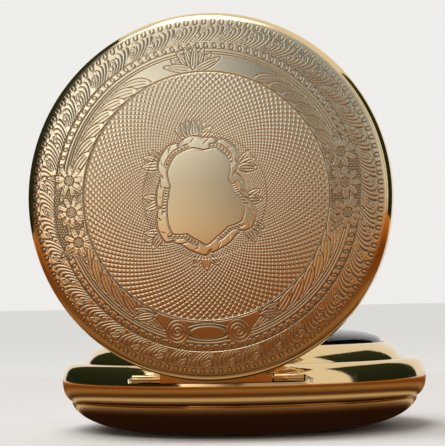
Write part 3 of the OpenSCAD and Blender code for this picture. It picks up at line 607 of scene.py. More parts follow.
@dataclass(frozen=True)
class Chasing:
    """Lines and pads chased into the cover.

    Its methods return a cut at each place, from 0, the plain surface, to 1, the deepest ground.
    A drawn form is a cut and its cover, which is 1 where the form hides what lies under it. A
    leaf's shape is its greatest half-width and the sideways bend of its tip.
    """

    # Mesh attribute that carries the painted shade of the cuts; the field's basket takes a smaller
    # share of it.
    ATTRIBUTE: ClassVar[str] = "cut_painted_shade"
    field_depth: float = 0.05
    field_painted_shade: float = 0.55
    border_depth: float = 0.032
    # Basket field
    field_r: float = 14.2
    lines: int = 118
    calm_r: Pair = (2, 7)
    pad_edge: Pair = (0.02, 0.5)
    # Shield plate, its frame and its leaf crest
    fringe_w: float = 0.5
    teeth: int = 88
    band_w: float = 0.75
    lobes: int = 9
    plate: tuple[Pair, ...] = (
        (-180, 4.15), (-156, 4.75), (-131, 5.75), (-116, 4.8), (-100, 5.15), (-88, 5.7),
        (-73, 4.9), (-53, 4.5), (-35, 5.25), (-16, 4.85), (6, 3.45), (33, 3.4), (54, 5.1),
        (73, 5.7), (89, 5.2), (103, 5.65), (126, 5.7), (147, 5.1), (162, 4.1), (180, 4.15))
    sprays: tuple[tuple[Pair, tuple[float, ...], float], ...] = (
        ((-1.0, 6.0), (140, 122, 58, 40, 105, 75, 90), 2.9), ((0, -6.3), (-130, -50, -90), 2.4),
        ((-4.9, 3.6), (125, 150, 180), 2.4), ((4.0, 3.2), (48, 20, -8), 2.4),
        ((-5.0, -0.6), (160, 200), 2.2), ((4.7, -0.6), (28, -4), 2.2),
        ((-4.9, -4.2), (-160, -185, -130), 2.3), ((4.7, -3.6), (-8, -35, -60), 2.3))
    spray_leaf: Pair = (0.55, 0.15)
    # Rings and leaf sheaves
    border_edge: Pair = (14.4, 14.5)
    rings: tuple[float, ...] = (14.34, 16.35, 16.62, 17.0, 17.75)
    sheaves: tuple[Pair, ...] = ((66, -1), (114, 1), (-12, -1), (-168, 1))
    sheaf_r: float = 14.45
    sheaf_leaves: int = 7
    sheaf_pitch: float = 7.3
    sheaf_tilt: float = 58
    sheaf_l: float = 4.3
    sheaf_leaf: Pair = (0.62, 1.5)
    sheaf_in: Pair = (14.3, 14.4)
    sheaf_out: Pair = (16.3, 16.35)
    # Beads, feathers and eyelets
    bead_r: float = 17.38
    beads: int = 110
    bead_size: Pair = (0.2, 0.28)
    bead_slant: float = 0.3
    shell_in: float = 17.85
    shell_out: float = 19.7
    shell_r: float = 19.1
    shells: int = 42
    stroke_w: float = 0.34
    curl_w: float = 0.3
    curl_r: float = 0.5
    curl_h: float = 1.25
    eyelet_r: float = 20.15
    eyelets: int = 121
    eyelet_size: Pair = (0.24, 0.33)
    rim_edge: Pair = (20.35, 20.45)
    # Flowers, their ground and the fans of leaves
    grounds: tuple[Pair, ...] = ((-16.1, -1.4), (16.1, 1.2))
    ground_size: Pair = (1.9, 4.9)
    dot_pitch: float = 0.3
    dot_r: float = 0.14
    blooms: tuple[Pair, ...] = (
        (15.7, 4.6), (16.3, -2.3), (16.1, 1.1), (-16.0, 2.2), (-15.0, -5.0), (-15.8, -1.5))
    bloom_r: float = 1.9
    bloom_leaf_l: float = 2.9
    bloom_leaf: Pair = (0.42, 0.3)
    fans: tuple[tuple[float, float, tuple[float, ...], float], ...] = (
        (94, 14.5, (150, 38, 128, 60, 106, 82), 3.0), (94, 14.5, (168, 20), 3.6),
        (-66, 14.9, (80, 54, 24, -2), 2.7), (-114, 14.9, (100, 126, 156, 182), 2.7))
    fan_leaf: Pair = (0.5, 0.25)
    # Bottom plate
    scroll_at: Pair = (0, -15.6)
    scroll_size: Pair = (2.3, 0.8)
    scroll_pitch: float = 0.42
    scroll_edge: Pair = (17.3, 17.4)

    def basket(self, at: Places) -> Grid:
        """Cut between small flat pads, left by two families of crossing spirals.

        Args:
            at: Places on the cover.

        Returns:
            The cut.
        """
        twist = np.log(np.maximum(at.r, 0.5) / self.field_r)
        along, across = (np.abs(np.sin(0.5 * self.lines * (at.a + way * twist)))
                         for way in (1, -1))
        return step(at.r, *self.calm_r) * (1 - step(np.minimum(along, across), *self.pad_edge))

    def plate_edge(self, at: Places) -> Grid:
        """How far each place lies outside the blank shield plate.

        Args:
            at: Places on the cover.

        Returns:
            The distance along the radius, below 0 on the plate.
        """
        fine, half = np.linspace(-180, 180, 721), 7
        outline = np.interp(fine, *zip(*self.plate))
        closed = np.concatenate([outline[-half - 1:-1], outline, outline[1:half + 1]])
        window = np.hanning(2 * half + 1) / np.hanning(2 * half + 1).sum()
        soft = np.convolve(closed, window, "valid")
        return at.r - np.interp(np.degrees(at.a), fine, soft)

    def shield_frame(self, out: Grid, a: Grid) -> Drawn:
        """Leafy band and toothed fringe round the plate.

        Args:
            out: Distance outside the plate.
            a: Angle round the cover.

        Returns:
            The drawn form.
        """
        fringe = self.fringe_w
        lobe = np.abs(np.sin(0.5 * self.lobes * a + 0.4))
        reach = fringe + self.band_w * (0.55 + 0.75 * lobe ** 0.5)
        teeth = 0.5 + 0.5 * np.cos(self.teeth * a)
        teeth = teeth * step(out, 0.08, 0.16) * fall(out, 0.4, fringe)
        gate = step(np.sin(6 * a + 1.1), -0.5, -0.2)
        share = (out - fringe) / (reach - fringe)
        veins = line(np.sin(1.5 * self.lobes * a + 2.2 * share + 0.4), 0.3)
        cut = np.maximum.reduce([
            0.9 * line(out), 0.95 * teeth * gate, 0.8 * gate * line(out - fringe - 0.05),
            line(out - reach, 0.15), 0.75 * veins * step(share, 0.15, 0.4) * (1 - lobe ** 6),
            0.8 * line(lobe, 0.22) * step(out, 0.62, 0.72)])
        return cut, step(reach + 0.08 - out, 0, 0.05)

    @staticmethod
    def leaf(at: Places, root: Pair, turn: float, size: float, shape: Pair) -> Drawn:
        """One pointed leaf drawn with its outline and two inner lines.

        Args:
            at: Places on the cover.
            root: Where its stalk starts.
            turn: Direction of its tip in degrees.
            size: Its length.
            shape: Its greatest half-width and the sideways bend of its tip.

        Returns:
            The drawn form.
        """
        near, (c, s), (width, bend) = at.about(root), polar(1, turn), shape
        along = (near.x * c + near.y * s) / size
        side = near.y * c - near.x * s - bend * along ** 2
        span = step(along, 0, 0.02) * fall(along, 0.98, 1)
        half = width * np.sin(math.pi * np.clip(along, 0, 1) ** 0.8) ** 0.75
        inner = 0.8 * step(along, 0.12, 0.2) * fall(along, 0.75, 0.86)
        cut = np.maximum.reduce([line(np.abs(side) - half), inner * line(side - 0.3 * half, 0.08),
                                 inner * line(side + 0.35 * half, 0.08)])
        return cut * span, span * step(half + 0.06 - np.abs(side), 0, 0.04)

    def bloom(self, at: Places, centre: Pair, petals: int, turn: float) -> Drawn:
        """One flower drawn with outlined petals, veins and a dotted heart.

        Args:
            at: Places on the cover.
            centre: Its centre.
            petals: Number of petals.
            turn: Direction of a petal in degrees.

        Returns:
            The drawn form.
        """
        near, size = at.about(centre), self.bloom_r
        r, a = near.r, near.a - math.radians(turn)
        lobe = np.abs(np.cos(0.5 * petals * a))
        outline = size * (0.42 + 0.58 * lobe ** 1.1)
        veins = line(np.sin(1.5 * petals * a), 0.3) * step(r, 0.4 * size, 0.5 * size)
        split = line(lobe, 0.16) * step(r, 0.3 * size, 0.36 * size)
        heart = 0.5 + 0.5 * np.cos(TURN * r / 0.3) * np.cos(6 * a)
        cut = np.maximum.reduce([
            line(r - outline, 0.12), 0.6 * line(r - 0.8 * outline, 0.07), 0.6 * veins, split,
            line(r - 0.3 * size, 0.08), heart * step(0.28 * size - r, 0, 0.05)])
        cover = step(outline + 0.08 - r, 0, 0.05)
        return cut * cover, cover

    def stipple(self, at: Places) -> Grid:
        """Punched ground between the flowers.

        Args:
            at: Places on the cover.

        Returns:
            The cut.
        """
        pitch = self.dot_pitch
        row = np.round(at.y / pitch)
        u = at.x + 0.5 * pitch * (row % 2)
        u = u - pitch * np.round(u / pitch)
        return 0.85 - 0.6 * line(np.hypot(u, at.y - pitch * row), self.dot_r)

    @staticmethod
    def ovals(at: Places, row_r: float, count: int, size: Pair, slant: float = 0) -> Grid:
        """Row of ovals round the cover.

        Args:
            at: Places on the cover.
            row_r: Radius of the row.
            count: Number of ovals.
            size: Half-width and half-height of one.
            slant: How far its top leans back, as a share of its height.

        Returns:
            The distance from the nearest oval's centre, as a share of its half-size.
        """
        pitch = TURN / count
        u, v = at.r * (at.a - pitch * np.round(at.a / pitch)), at.r - row_r
        return np.hypot((u - slant * v) / size[0], v / size[1])

    def feathers(self, at: Places) -> Grid:
        """Scrolls of five or six nested strokes that lean round the band.

        Args:
            at: Places on the cover.

        Returns:
            The cut.
        """
        pitch = TURN / self.shells
        height = at.r - self.shell_in
        lean = at.a + 0.05 * height
        number = np.floor(lean / pitch)
        share = lean / pitch - number
        long = pitch * self.shell_r
        foot = 0.3 + 0.25 * (number % 2)
        u, v = (share - 0.9) * long, height - foot
        reach, angle = np.hypot(0.8 * u, v), np.arctan2(v, -u)
        strokes = line(np.abs(np.sin(math.pi * reach / self.stroke_w - 1.4 * angle)), 0.62)
        fan = strokes * step(long * 0.72 - reach, 0, 0.15) * step(angle, -0.9, -0.6)
        curl = Places((share - 0.86) * long, height - self.curl_h)
        turns = line(np.sin(math.pi * curl.r / self.curl_w + 0.5 * curl.a), 0.6)
        near = step(self.curl_r - curl.r, 0, 0.06)
        return np.maximum(fan, line(reach - long * 0.74)) * (1 - near) + turns * near

    def scroll_plate(self, at: Places) -> Drawn:
        """Smooth plate between two scrolls, below the field.

        Args:
            at: Places on the cover.

        Returns:
            The drawn form.
        """
        near, (flat, tall) = at.about(self.scroll_at), self.scroll_size
        oval = np.hypot(near.x / flat, near.y / tall)
        cut = np.maximum(line((oval - 1) * tall, 0.11), line((oval - 1.35) * 0.7, 0.09))
        cover = step(1.5 - oval, 0, 0.06)
        for side in (-1, 1):
            scroll = near.about((side * 1.55 * flat, 0.15))
            lean = 0.5 * np.arctan2(scroll.y, side * scroll.x)
            turns = line(np.abs(np.sin(math.pi * scroll.r / self.scroll_pitch - lean)), 0.5)
            here = step(0.62 * flat - scroll.r, 0, 0.06)
            cut = cut * (1 - here) + turns * here
            cover = np.maximum(cover, here)
        return cut, cover

    @staticmethod
    def laid(under: Grid, over: Drawn) -> Grid:
        """Lay a drawn form over what is under it."""
        cut, cover = over
        return under * (1 - cover) + cut * cover

    def cut(self, at: Places) -> Grid:
        """Cut at each place of the cover."""
        return np.where(at.r < self.field_r, self.middle(at), self.border(at))

    def relief(self, r: Grid, cut: Grid) -> tuple[Grid, Grid]:
        """Depth and painted shade of a cut, both gentler in the field's fine basket.

        Args:
            r: Radius of each place.
            cut: The cut there.

        Returns:
            The depth in millimetres, and the painted shade from 0 to 1.
        """
        inside = r < self.field_r
        return (cut * np.where(inside, self.field_depth, self.border_depth),
                cut * np.where(inside, self.field_painted_shade, 1))

    def middle(self, at: Places) -> Grid:
        """Cut inside the field's edge: basket pads, the frame, its leaf crest and the plate.

        Args:
            at: Places on the cover.

        Returns:
            The cut.
        """
        result = self.basket(at)
        for foot, turns, size in self.sprays:
            for turn in turns:
                result = self.laid(result, self.leaf(at, foot, turn, size, self.spray_leaf))
        out = self.plate_edge(at)
        result = self.laid(result, self.shield_frame(out, at.a))
        return np.where(out < 0, 0.9 * line(out, 0.09), result)

    def sprigs(self, at: Places) -> Iterator[Drawn]:
        """Leaves and flowers that are laid over the border, in order.

        Args:
            at: Places on the cover.

        Returns:
            The drawn forms, one after the other.
        """
        for number, centre in enumerate(self.blooms):
            for turn in (25, 100, 175):
                yield self.leaf(at, centre, turn + 47 * number, self.bloom_leaf_l,
                                self.bloom_leaf)
        for number, centre in enumerate(self.blooms):
            yield self.bloom(at, centre, 8 + number % 2, 20 + 35 * number)
        for degrees, root_r, turns, size in self.fans:
            for turn in turns:
                yield self.leaf(at, polar(root_r, degrees), turn, size, self.fan_leaf)
        cut, cover = self.scroll_plate(at)
        yield cut, cover * fall(at.r, *self.scroll_edge)

    def border(self, at: Places) -> Grid:
        """Cut outside the field: leaf sheaves, rings, beads, feathers, eyelets and flowers.

        Args:
            at: Places on the cover.

        Returns:
            The cut.
        """
        r = at.r
        result = np.zeros_like(r)
        width, bend = self.sheaf_leaf
        for start, way in self.sheaves:
            for number in range(self.sheaf_leaves):
                spot = start + way * self.sheaf_pitch * number
                result = self.laid(result, self.leaf(
                    at, polar(self.sheaf_r, spot), spot + way * self.sheaf_tilt, self.sheaf_l,
                    (width, way * bend)))
        result = result * fall(r, *self.sheaf_out) * step(r, *self.sheaf_in)
        for ring_r in self.rings:
            result = np.maximum(result, 0.9 * line(r - ring_r))
        bead = self.ovals(at, self.bead_r, self.beads, self.bead_size, self.bead_slant)
        result = np.maximum(result, 0.9 * line(0.24 * (bead - 1), 0.11))
        band = (step(r, self.shell_in, self.shell_in + 0.05)
                * fall(r, self.shell_out - 0.05, self.shell_out))
        result = np.maximum(result, self.feathers(at) * band)
        eyelet = self.ovals(at, self.eyelet_r, self.eyelets, self.eyelet_size)
        rim = np.maximum(line(0.28 * (eyelet - 1), 0.11), 0.7 * line(r - self.shell_out, 0.08))
        result = np.where(r > self.shell_out, rim * fall(r, *self.rim_edge), result)
        edge = step(r, *self.border_edge)
        for centre in self.grounds:
            zone, (width, height) = at.about(centre), self.ground_size
            inside = edge * fall(np.hypot(zone.x / width, zone.y / height), 0.97, 1)
            result = self.laid(result, (self.stipple(at), inside))
        for cut, cover in self.sprigs(at):
            result = self.laid(result, (cut, cover * edge))
        return result


# Parts of the watch


@dataclass
class Cover:
    """Domed front cover: a shell with sheets of chased relief set into its face."""

    radius: float = 21.35
    rim_z: float = 8.95
    top_z: float = 14.3
    dome: float = 1.08
    wall: float = 0.6
    shoulder_r: float = 19.79
    shoulder_h: float = 1.6
    shoulder_bow: float = 1.15
    sheet_r: float = 20.75
    inner_r: float = 7.2
    border_r: float = 17.83
    dome_r: tuple[float, ...] = (0, 4, 8, 12, 16)
    sunk: float = 0.25
    skirt: float = 0.05
    clear: float = 0.002
    lip: float = 0.12
    catch_l: float = 2.4
    catch_w: float = 0.28
    catch_t: float = 0.35
    catch_bevel: float = 0.05
    catch_root: float = 0.03
    shell_steps: int = 256
    sheets: tuple[tuple[str, int, int], ...] = (
        ("cover_shield", 120, 700), ("cover_basket", 100, 944),
        ("cover_leaf_border", 60, 1500), ("cover_feather_border", 46, 1900))
    hinge: Triple = (0, -21.26, 7.3)
    open_angle: float = 91
    strap_start: float = 0.45
    strap_flat: float = 0.01
    strap_lift: float = 0.03
    chasing: Chasing = field(default_factory=Chasing)

    def face(self, inset: float, steps: int = 14) -> list[Pair]:
        """Profile of the side wall's top, the shoulder and the dome's edge, from outside in.

        Args:
            inset: Distance from the outer face.
            steps: Number of steps.

        Returns:
            The points (radius, height).
        """
        side = (self.radius - inset, self.top_z - self.dome - self.shoulder_h)
        control = (self.radius - inset, self.top_z - self.shoulder_bow * self.dome - inset)
        end = (self.shoulder_r - inset, self.top_z - self.dome - inset)
        return bezier(side, control, end, steps)

    def height(self, r: Grid) -> Grid:
        """Height of the plain face.

        Args:
            r: Radius, or radii.

        Returns:
            The height at each.
        """
        shoulder = np.array(self.face(0, 200))[::-1]
        on_dome = self.top_z - self.dome * (r / self.shoulder_r) ** 2
        return np.where(r < self.shoulder_r, on_dome, np.interp(r, shoulder[:, 0], shoulder[:, 1]))

    def swing(self, bm: bmesh.types.BMesh, degrees: float) -> None:
        """Turn a mesh in millimetres about the hinge."""
        bmesh.ops.rotate(bm, verts=bm.verts, cent=self.hinge,
                         matrix=Matrix.Rotation(math.radians(degrees), 3, "X"))

    def opened(self, bm: bmesh.types.BMesh) -> bmesh.types.BMesh:
        """Turn a closed piece open on the hinge and bring it to metres.

        Args:
            bm: Mesh of the piece in millimetres.

        Returns:
            The same mesh.
        """
        self.swing(bm, self.open_angle)
        resize(bm, MM)
        return bm

    def shell(self, gold: bpy.types.Material) -> bpy.types.Object:
        """Polished wall, shoulder and inside of the cover, with its catch lip.

        Args:
            gold: Finish of the shell.

        Returns:
            The piece that stands for the cover's CAD node.
        """
        wall_r, rim_z, lip = self.radius - self.wall, self.rim_z, self.lip
        under = [(r, float(self.height(r)) - self.sunk) for r in (*self.dome_r, 19, self.sheet_r)]
        ledge = (self.sheet_r, float(self.height(self.sheet_r)))
        outside = [point for point in self.face(0) if point[0] > self.sheet_r][::-1]
        rim = [(self.radius, rim_z + lip), (self.radius - lip, rim_z), (wall_r + 0.1, rim_z),
               (wall_r, rim_z + lip)]
        inner = self.face(self.wall)
        inside = [(r, self.top_z - self.wall - self.dome * (r / (self.shoulder_r - self.wall)) ** 2)
                  for r in self.dome_r[::-1]]
        bm = spun([*under, ledge, *outside, *rim, *inner, *inside], self.shell_steps, False)
        centre = Matrix.Translation((0, wall_r - self.catch_root, rim_z + self.catch_t / 2))
        size = Matrix.Diagonal((self.catch_l, 2 * self.catch_w, self.catch_t, 1))
        catch = bmesh.ops.create_cube(bm, size=1, matrix=centre @ size)["verts"]
        edges = list(dict.fromkeys(edge for vert in catch for edge in vert.link_edges))
        bmesh.ops.bevel(bm, geom=edges, offset=self.catch_bevel, segments=2, profile=0.5,
                        affect="EDGES", material=-1)
        return finish_piece("cover_shell", self.opened(bm), gold, Body.COVER, Slot.GOLD_COVER, 35)

    def sheet(self, name: str, inner: float, outer: float, rings: int, steps: int,
              gold: bpy.types.Material) -> bpy.types.Object:
        """One ring or disc of chased relief, closed below where it is let into the shell.

        Args:
            name: Name of the piece.
            inner: Inner radius.
            outer: Outer radius.
            rings: Number of rings of faces.
            steps: Number of faces round.
            gold: Finish of the sheet.

        Returns:
            The new piece.
        """
        bm = bmesh.new()
        bmesh.ops.create_grid(bm, x_segments=steps, y_segments=rings, size=0.5)
        mesh = into_mesh(f"{name}_grid", bm)
        places = np.empty(3 * len(mesh.vertices))
        mesh.vertices.foreach_get("co", places)
        places = places.reshape(-1, 3)
        angle = -TURN * places[:, 0]
        row = np.round((places[:, 1] + 0.5) * rings)
        first = int(inner > 0)
        r = inner + (outer - inner) * np.clip((row - first) / (rings - 1 - first), 0, 1)
        x, y = r * np.cos(angle), r * np.sin(angle)
        depth, painted_shade = self.chasing.relief(r, self.chasing.cut(Places(x, y)))
        plain = self.height(r)
        z = np.where((row < first) | (row == rings), plain - self.sunk - self.skirt,
                     plain - depth - self.clear)
        mesh.vertices.foreach_set("co", np.stack([x, y, z], 1).ravel())
        # Painted shade of each point, which the chased gold reads as darker colour.
        mesh.attributes.new(Chasing.ATTRIBUTE, "FLOAT", "POINT").data.foreach_set("value", painted_shade)
        bm = bmesh.new()
        bm.from_mesh(mesh)
        bpy.data.meshes.remove(mesh)
        seam = [vert for vert in bm.verts
                if (abs(vert.co.y) < CLOSE and vert.co.x < 0) or vert.co.xy.length < CLOSE]
        bmesh.ops.remove_doubles(bm, verts=seam, dist=CLOSE)
        rim = [edge for edge in bm.edges if edge.is_boundary]
        if first:
            bmesh.ops.bridge_loops(bm, edges=rim)
        else:
            bmesh.ops.contextual_create(bm, geom=rim)
        bmesh.ops.recalc_face_normals(bm, faces=bm.faces)
        LOG.info("%s: %d open edges", name, sum(edge.is_boundary for edge in bm.edges))
        return finish_piece(name, self.opened(bm), gold, Body.COVER, Slot.GOLD_COVER, 180)

    def knuckle(self, gold: bpy.types.Material) -> bpy.types.Object:
        """Polished knuckle whose strap stays just clear of the hinge pocket when closed.

        Args:
            gold: Finish of the knuckle.

        Returns:
            The piece that stands for the knuckle's CAD node.
        """
        bm = welded("cover_knuckle")
        resize(bm, 1 / MM)
        self.swing(bm, -self.open_angle)
        strap = [vert for vert in bm.verts if abs(vert.co.z - self.hinge[2]) < self.strap_flat
                 and vert.co.y > self.hinge[1] + self.strap_start]
        bmesh.ops.translate(bm, verts=strap, vec=(0, 0, self.strap_lift))
        return finish_piece("cover_knuckle_polished", self.opened(bm), gold, Body.COVER,
                            Slot.GOLD_COVER)

    def build(self, palette: Palette) -> None:
        """Build the shell, its chased sheets and its knuckle.

        Args:
            palette: The watch's finishes.
        """
        gold, chased = palette[Finish.GOLD], palette[Finish.CHASED]
        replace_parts(self.shell(gold), "front_cover")
        radii = (0, self.inner_r, self.chasing.field_r, self.border_r, self.sheet_r)
        for (name, rings, steps), inner, outer in zip(self.sheets, radii, radii[1:]):
            self.sheet(name, inner, outer, rings, steps, chased)
        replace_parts(self.knuckle(gold), "cover_knuckle")


@dataclass
class Case:
    """Polished copies of the gold case nodes, and its crystal."""

    gold_nodes: dict[Body, tuple[str, ...]] = field(default_factory=lambda: {
        Body.CASE: ("case_middle", "case_back", "bezel", "hinge_knuckles", "pendant",
                    "bow_screws"),
        Body.BOW: ("bow",),
        Body.CROWN: ("crown",),
    })
    crease: float = 26

    def build(self, palette: Palette) -> None:
        """Smooth and dress the case, its bow, its crown and its crystal.

        Args:
            palette: The watch's finishes.
        """
        for body, nodes in self.gold_nodes.items():
            for node in nodes:
                piece = finish_piece(f"{node}_polished", welded(node), palette[Finish.GOLD],
                                     body, Slot.GOLD_CASE, self.crease)
                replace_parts(piece, node)
        crystal = finish_piece("crystal_clear", welded("crystal"), palette[Finish.GLASS],
                               Body.CASE, Slot.CRYSTAL)
        crystal.visible_shadow = False
        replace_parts(crystal, "crystal")


@dataclass
class Dial:
    """Printed numerals and minute track on the enamel dial."""

    top_z: float = 8.2
    print_t: float = 0.03
    numeral_r: float = 13.6
    numeral_h: float = 3.0
    thick: float = 0.42
    thin: float = 0.13
    serif: float = 0.12
    foot_w: float = 0.72
    feet_w: Pair = (0.7, 0.5)
    feet_x: float = 0.5
    lean_w: float = 0.9
    v_lean: float = 0.55
    v_shift: float = 0.24
    track_in: float = 16.1
    track_out: float = 16.9
    track_w: float = 0.08
    track_steps: int = 180
    marks: Pair = (0.24, 0.09)
    sign_w: dict[str, float] = field(default_factory=lambda: {"I": 0.75, "V": 1.75, "X": 1.75})
    numerals: tuple[str, ...] = ("XII", "I", "II", "III", "IIII", "V", "VI", "VII", "VIII", "IX",
                                 "X", "XI")

    def bar(self, bm: bmesh.types.BMesh, place: Matrix, centre: Pair, size: Pair,
            lean: float = 0) -> None:
        """Add one flat stroke.

        Args:
            bm: Mesh to add to.
            place: Place of the stroke's group on the dial.
            centre: Centre of the stroke in its group.
            size: Width and height.
            lean: Lean in degrees.
        """
        local = Matrix.Translation((*centre, self.print_t / 2)) @ Matrix.Rotation(
            math.radians(lean), 4, "Z") @ Matrix.Diagonal((*size, self.print_t, 1))
        bmesh.ops.create_cube(bm, size=1, matrix=place @ local)

    def letter(self, bm: bmesh.types.BMesh, place: Matrix, sign: str, x: float) -> float:
        """Add one Roman sign.

        Args:
            bm: Mesh to add to.
            place: Place of the numeral on the dial.
            sign: The sign, I, V or X.
            x: Where it starts in the numeral.

        Returns:
            Its width.
        """
        h, width, pointed = self.numeral_h, self.sign_w[sign], sign == "V"
        middle = x + width / 2
        if sign == "I":
            self.bar(bm, place, (middle, 0), (self.thick, h))
            feet = [(middle, self.foot_w)]
        else:
            lean = math.degrees(math.atan(self.lean_w / h)) * (self.v_lean if pointed else 1)
            shift = self.v_shift if pointed else 0
            self.bar(bm, place, (middle - shift, 0), (self.thick, h), lean)
            self.bar(bm, place, (middle + shift, 0), (self.thin, h), -lean)
            feet = list(zip((middle - self.feet_x, middle + self.feet_x), self.feet_w))
        for end in (h / 2,) if pointed else (h / 2, -h / 2):
            for foot, wide in feet:
                self.bar(bm, place, (foot, end), (wide, self.serif))
        return width

    def build(self, palette: Palette) -> None:
        """Print the numerals and the track.

        Args:
            palette: The watch's finishes.
        """
        ink, low, high = palette[Finish.LACQUER], self.top_z, self.top_z + self.print_t
        bm = bmesh.new()
        for hour, text in enumerate(self.numerals):
            place = (Matrix.Rotation(-TURN * hour / 12, 4, "Z")
                     @ Matrix.Translation((0, self.numeral_r, low)))
            x = -sum(self.sign_w[sign] for sign in text) / 2
            for sign in text:
                x += self.letter(bm, place, sign, x)
        middle = Matrix.Translation((0, 0.5 * (self.track_in + self.track_out), low))
        for minute in range(60):
            place = Matrix.Rotation(TURN * minute / 60, 4, "Z") @ middle
            wide = self.marks[minute % 5 > 0]
            self.bar(bm, place, (0, 0), (wide, self.track_out - self.track_in))
        resize(bm, MM)
        finish_piece("dial_numerals", bm, ink, Body.CASE, Slot.HANDS)
        for name, r in (("dial_track_inner", self.track_in), ("dial_track_outer", self.track_out)):
            near, far = r - self.track_w / 2, r + self.track_w / 2
            ring = spun([(near, low), (far, low), (far, high), (near, high)], self.track_steps,
                        True)
            resize(ring, MM)
            finish_piece(name, ring, ink, Body.CASE, Slot.HANDS)


@dataclass
class Movement:
    """Finishes of the CAD nodes that keep their own mesh."""

    finishes: dict[Finish, tuple[str, ...]] = field(default_factory=lambda: {
        Finish.STEEL: ("hinge_pin", "setting_stem", "push_sleeve", "detent_collar", "lock_spring",
                       "lift_spring", "spring_screws", "bridge_screws", "clamp_screw",
                       "coil_core", "stator", "cannon_pinion", "setting_wheel", "setting_lever"),
        Finish.NICKEL: ("train_bridge", "battery_clamp", "battery", "quartz_can"),
        Finish.BRASS: ("main_plate", "fifth_wheel", "seconds_wheel", "third_wheel",
                       "centre_wheel", "minute_wheel", "hour_wheel"),
        Finish.NYLON: ("movement_holder",),
        Finish.RUBBER: ("crystal_gasket",),
        Finish.BOARD: ("circuit_board",),
        Finish.EPOXY: ("chip", "rotor"),
        Finish.COPPER: ("coil",),
        Finish.ENAMEL: ("dial",),
        Finish.LACQUER: ("hour_hand", "minute_hand", "seconds_hand", "seconds_cap"),
    })

    def build(self, palette: Palette) -> None:
        """Give each node its material.

        Args:
            palette: The watch's finishes.
        """
        for finish, nodes in self.finishes.items():
            for node in nodes:
                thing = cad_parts[node]
                for slot in thing.material_slots:
                    slot.material = palette[finish]
                LOG.info("%s: %s on the frame's own mesh of %d faces", node, finish.value.name,
                         len(thing.data.polygons))


# Studio


@dataclass(frozen=True)
class Card:
    """Card beside the set that only shows in polished metal.

    Attributes:
        name: Name of the card.
        centre: Its centre in millimetres.
        turn: Its turn in degrees about X, and then about Z.
        size: Its width and height in millimetres.
        run: Way in which its colour changes.
        stops: Places on that way in millimetres, and the card's colour at each.
        bright: Its brightness, where across doesn't give it.
        across: Places along the X axis in millimetres, and its brightness at each.
        peak: Brightness that across never passes.
    """

    name: str
    centre: Triple
    turn: Pair
    size: Pair
    run: Run
    stops: tuple[tuple[float, Colour], ...]
    bright: float = 1
    across: tuple[Pair, ...] = ()
    peak: float = 3

    def build(self) -> None:
        """Make the card, which lights nothing and which the camera doesn't see."""
        bm = bmesh.new()
        bmesh.ops.create_grid(bm, x_segments=4, y_segments=4, size=0.5)
        about_x, about_z = (math.radians(degrees) for degrees in self.turn)
        place = (Matrix.Translation(self.centre) @ Matrix.Rotation(about_z, 4, "Z")
                 @ Matrix.Rotation(about_x, 4, "X") @ Matrix.Diagonal((*self.size, 1, 1)))
        bmesh.ops.transform(bm, matrix=Matrix.Scale(MM, 4) @ place, verts=bm.verts)
        shader = Shader(self.name)
        glow = shader.add("ShaderNodeEmission")
        glow.inputs["Strength"].default_value = self.bright
        shader.join(shader.gradient(shader.length(self.run), self.stops), glow, "Color")
        if self.across:
            greys = [(spot, [bright / self.peak] * 3) for spot, bright in self.across]
            grey = shader.gradient(shader.length(Run.ACROSS), greys)
            shader.join(shader.ramp(grey, 0, 1, 0, self.peak), glow, "Strength")
        shader.join(glow.outputs[0], shader.tree.nodes["Material Output"], "Surface")
        card = added(self.name, into_mesh(self.name, bm))
        card.data.materials.append(shader.material)
        card.visible_camera = card.visible_diffuse = card.visible_shadow = False
        card.visible_transmission = False


# Colours of the dark cards beside the watch, at heights over the table
DARK = ((0, (0.012, 0.018, 0.01)), (260, (0.03, 0.04, 0.022)))


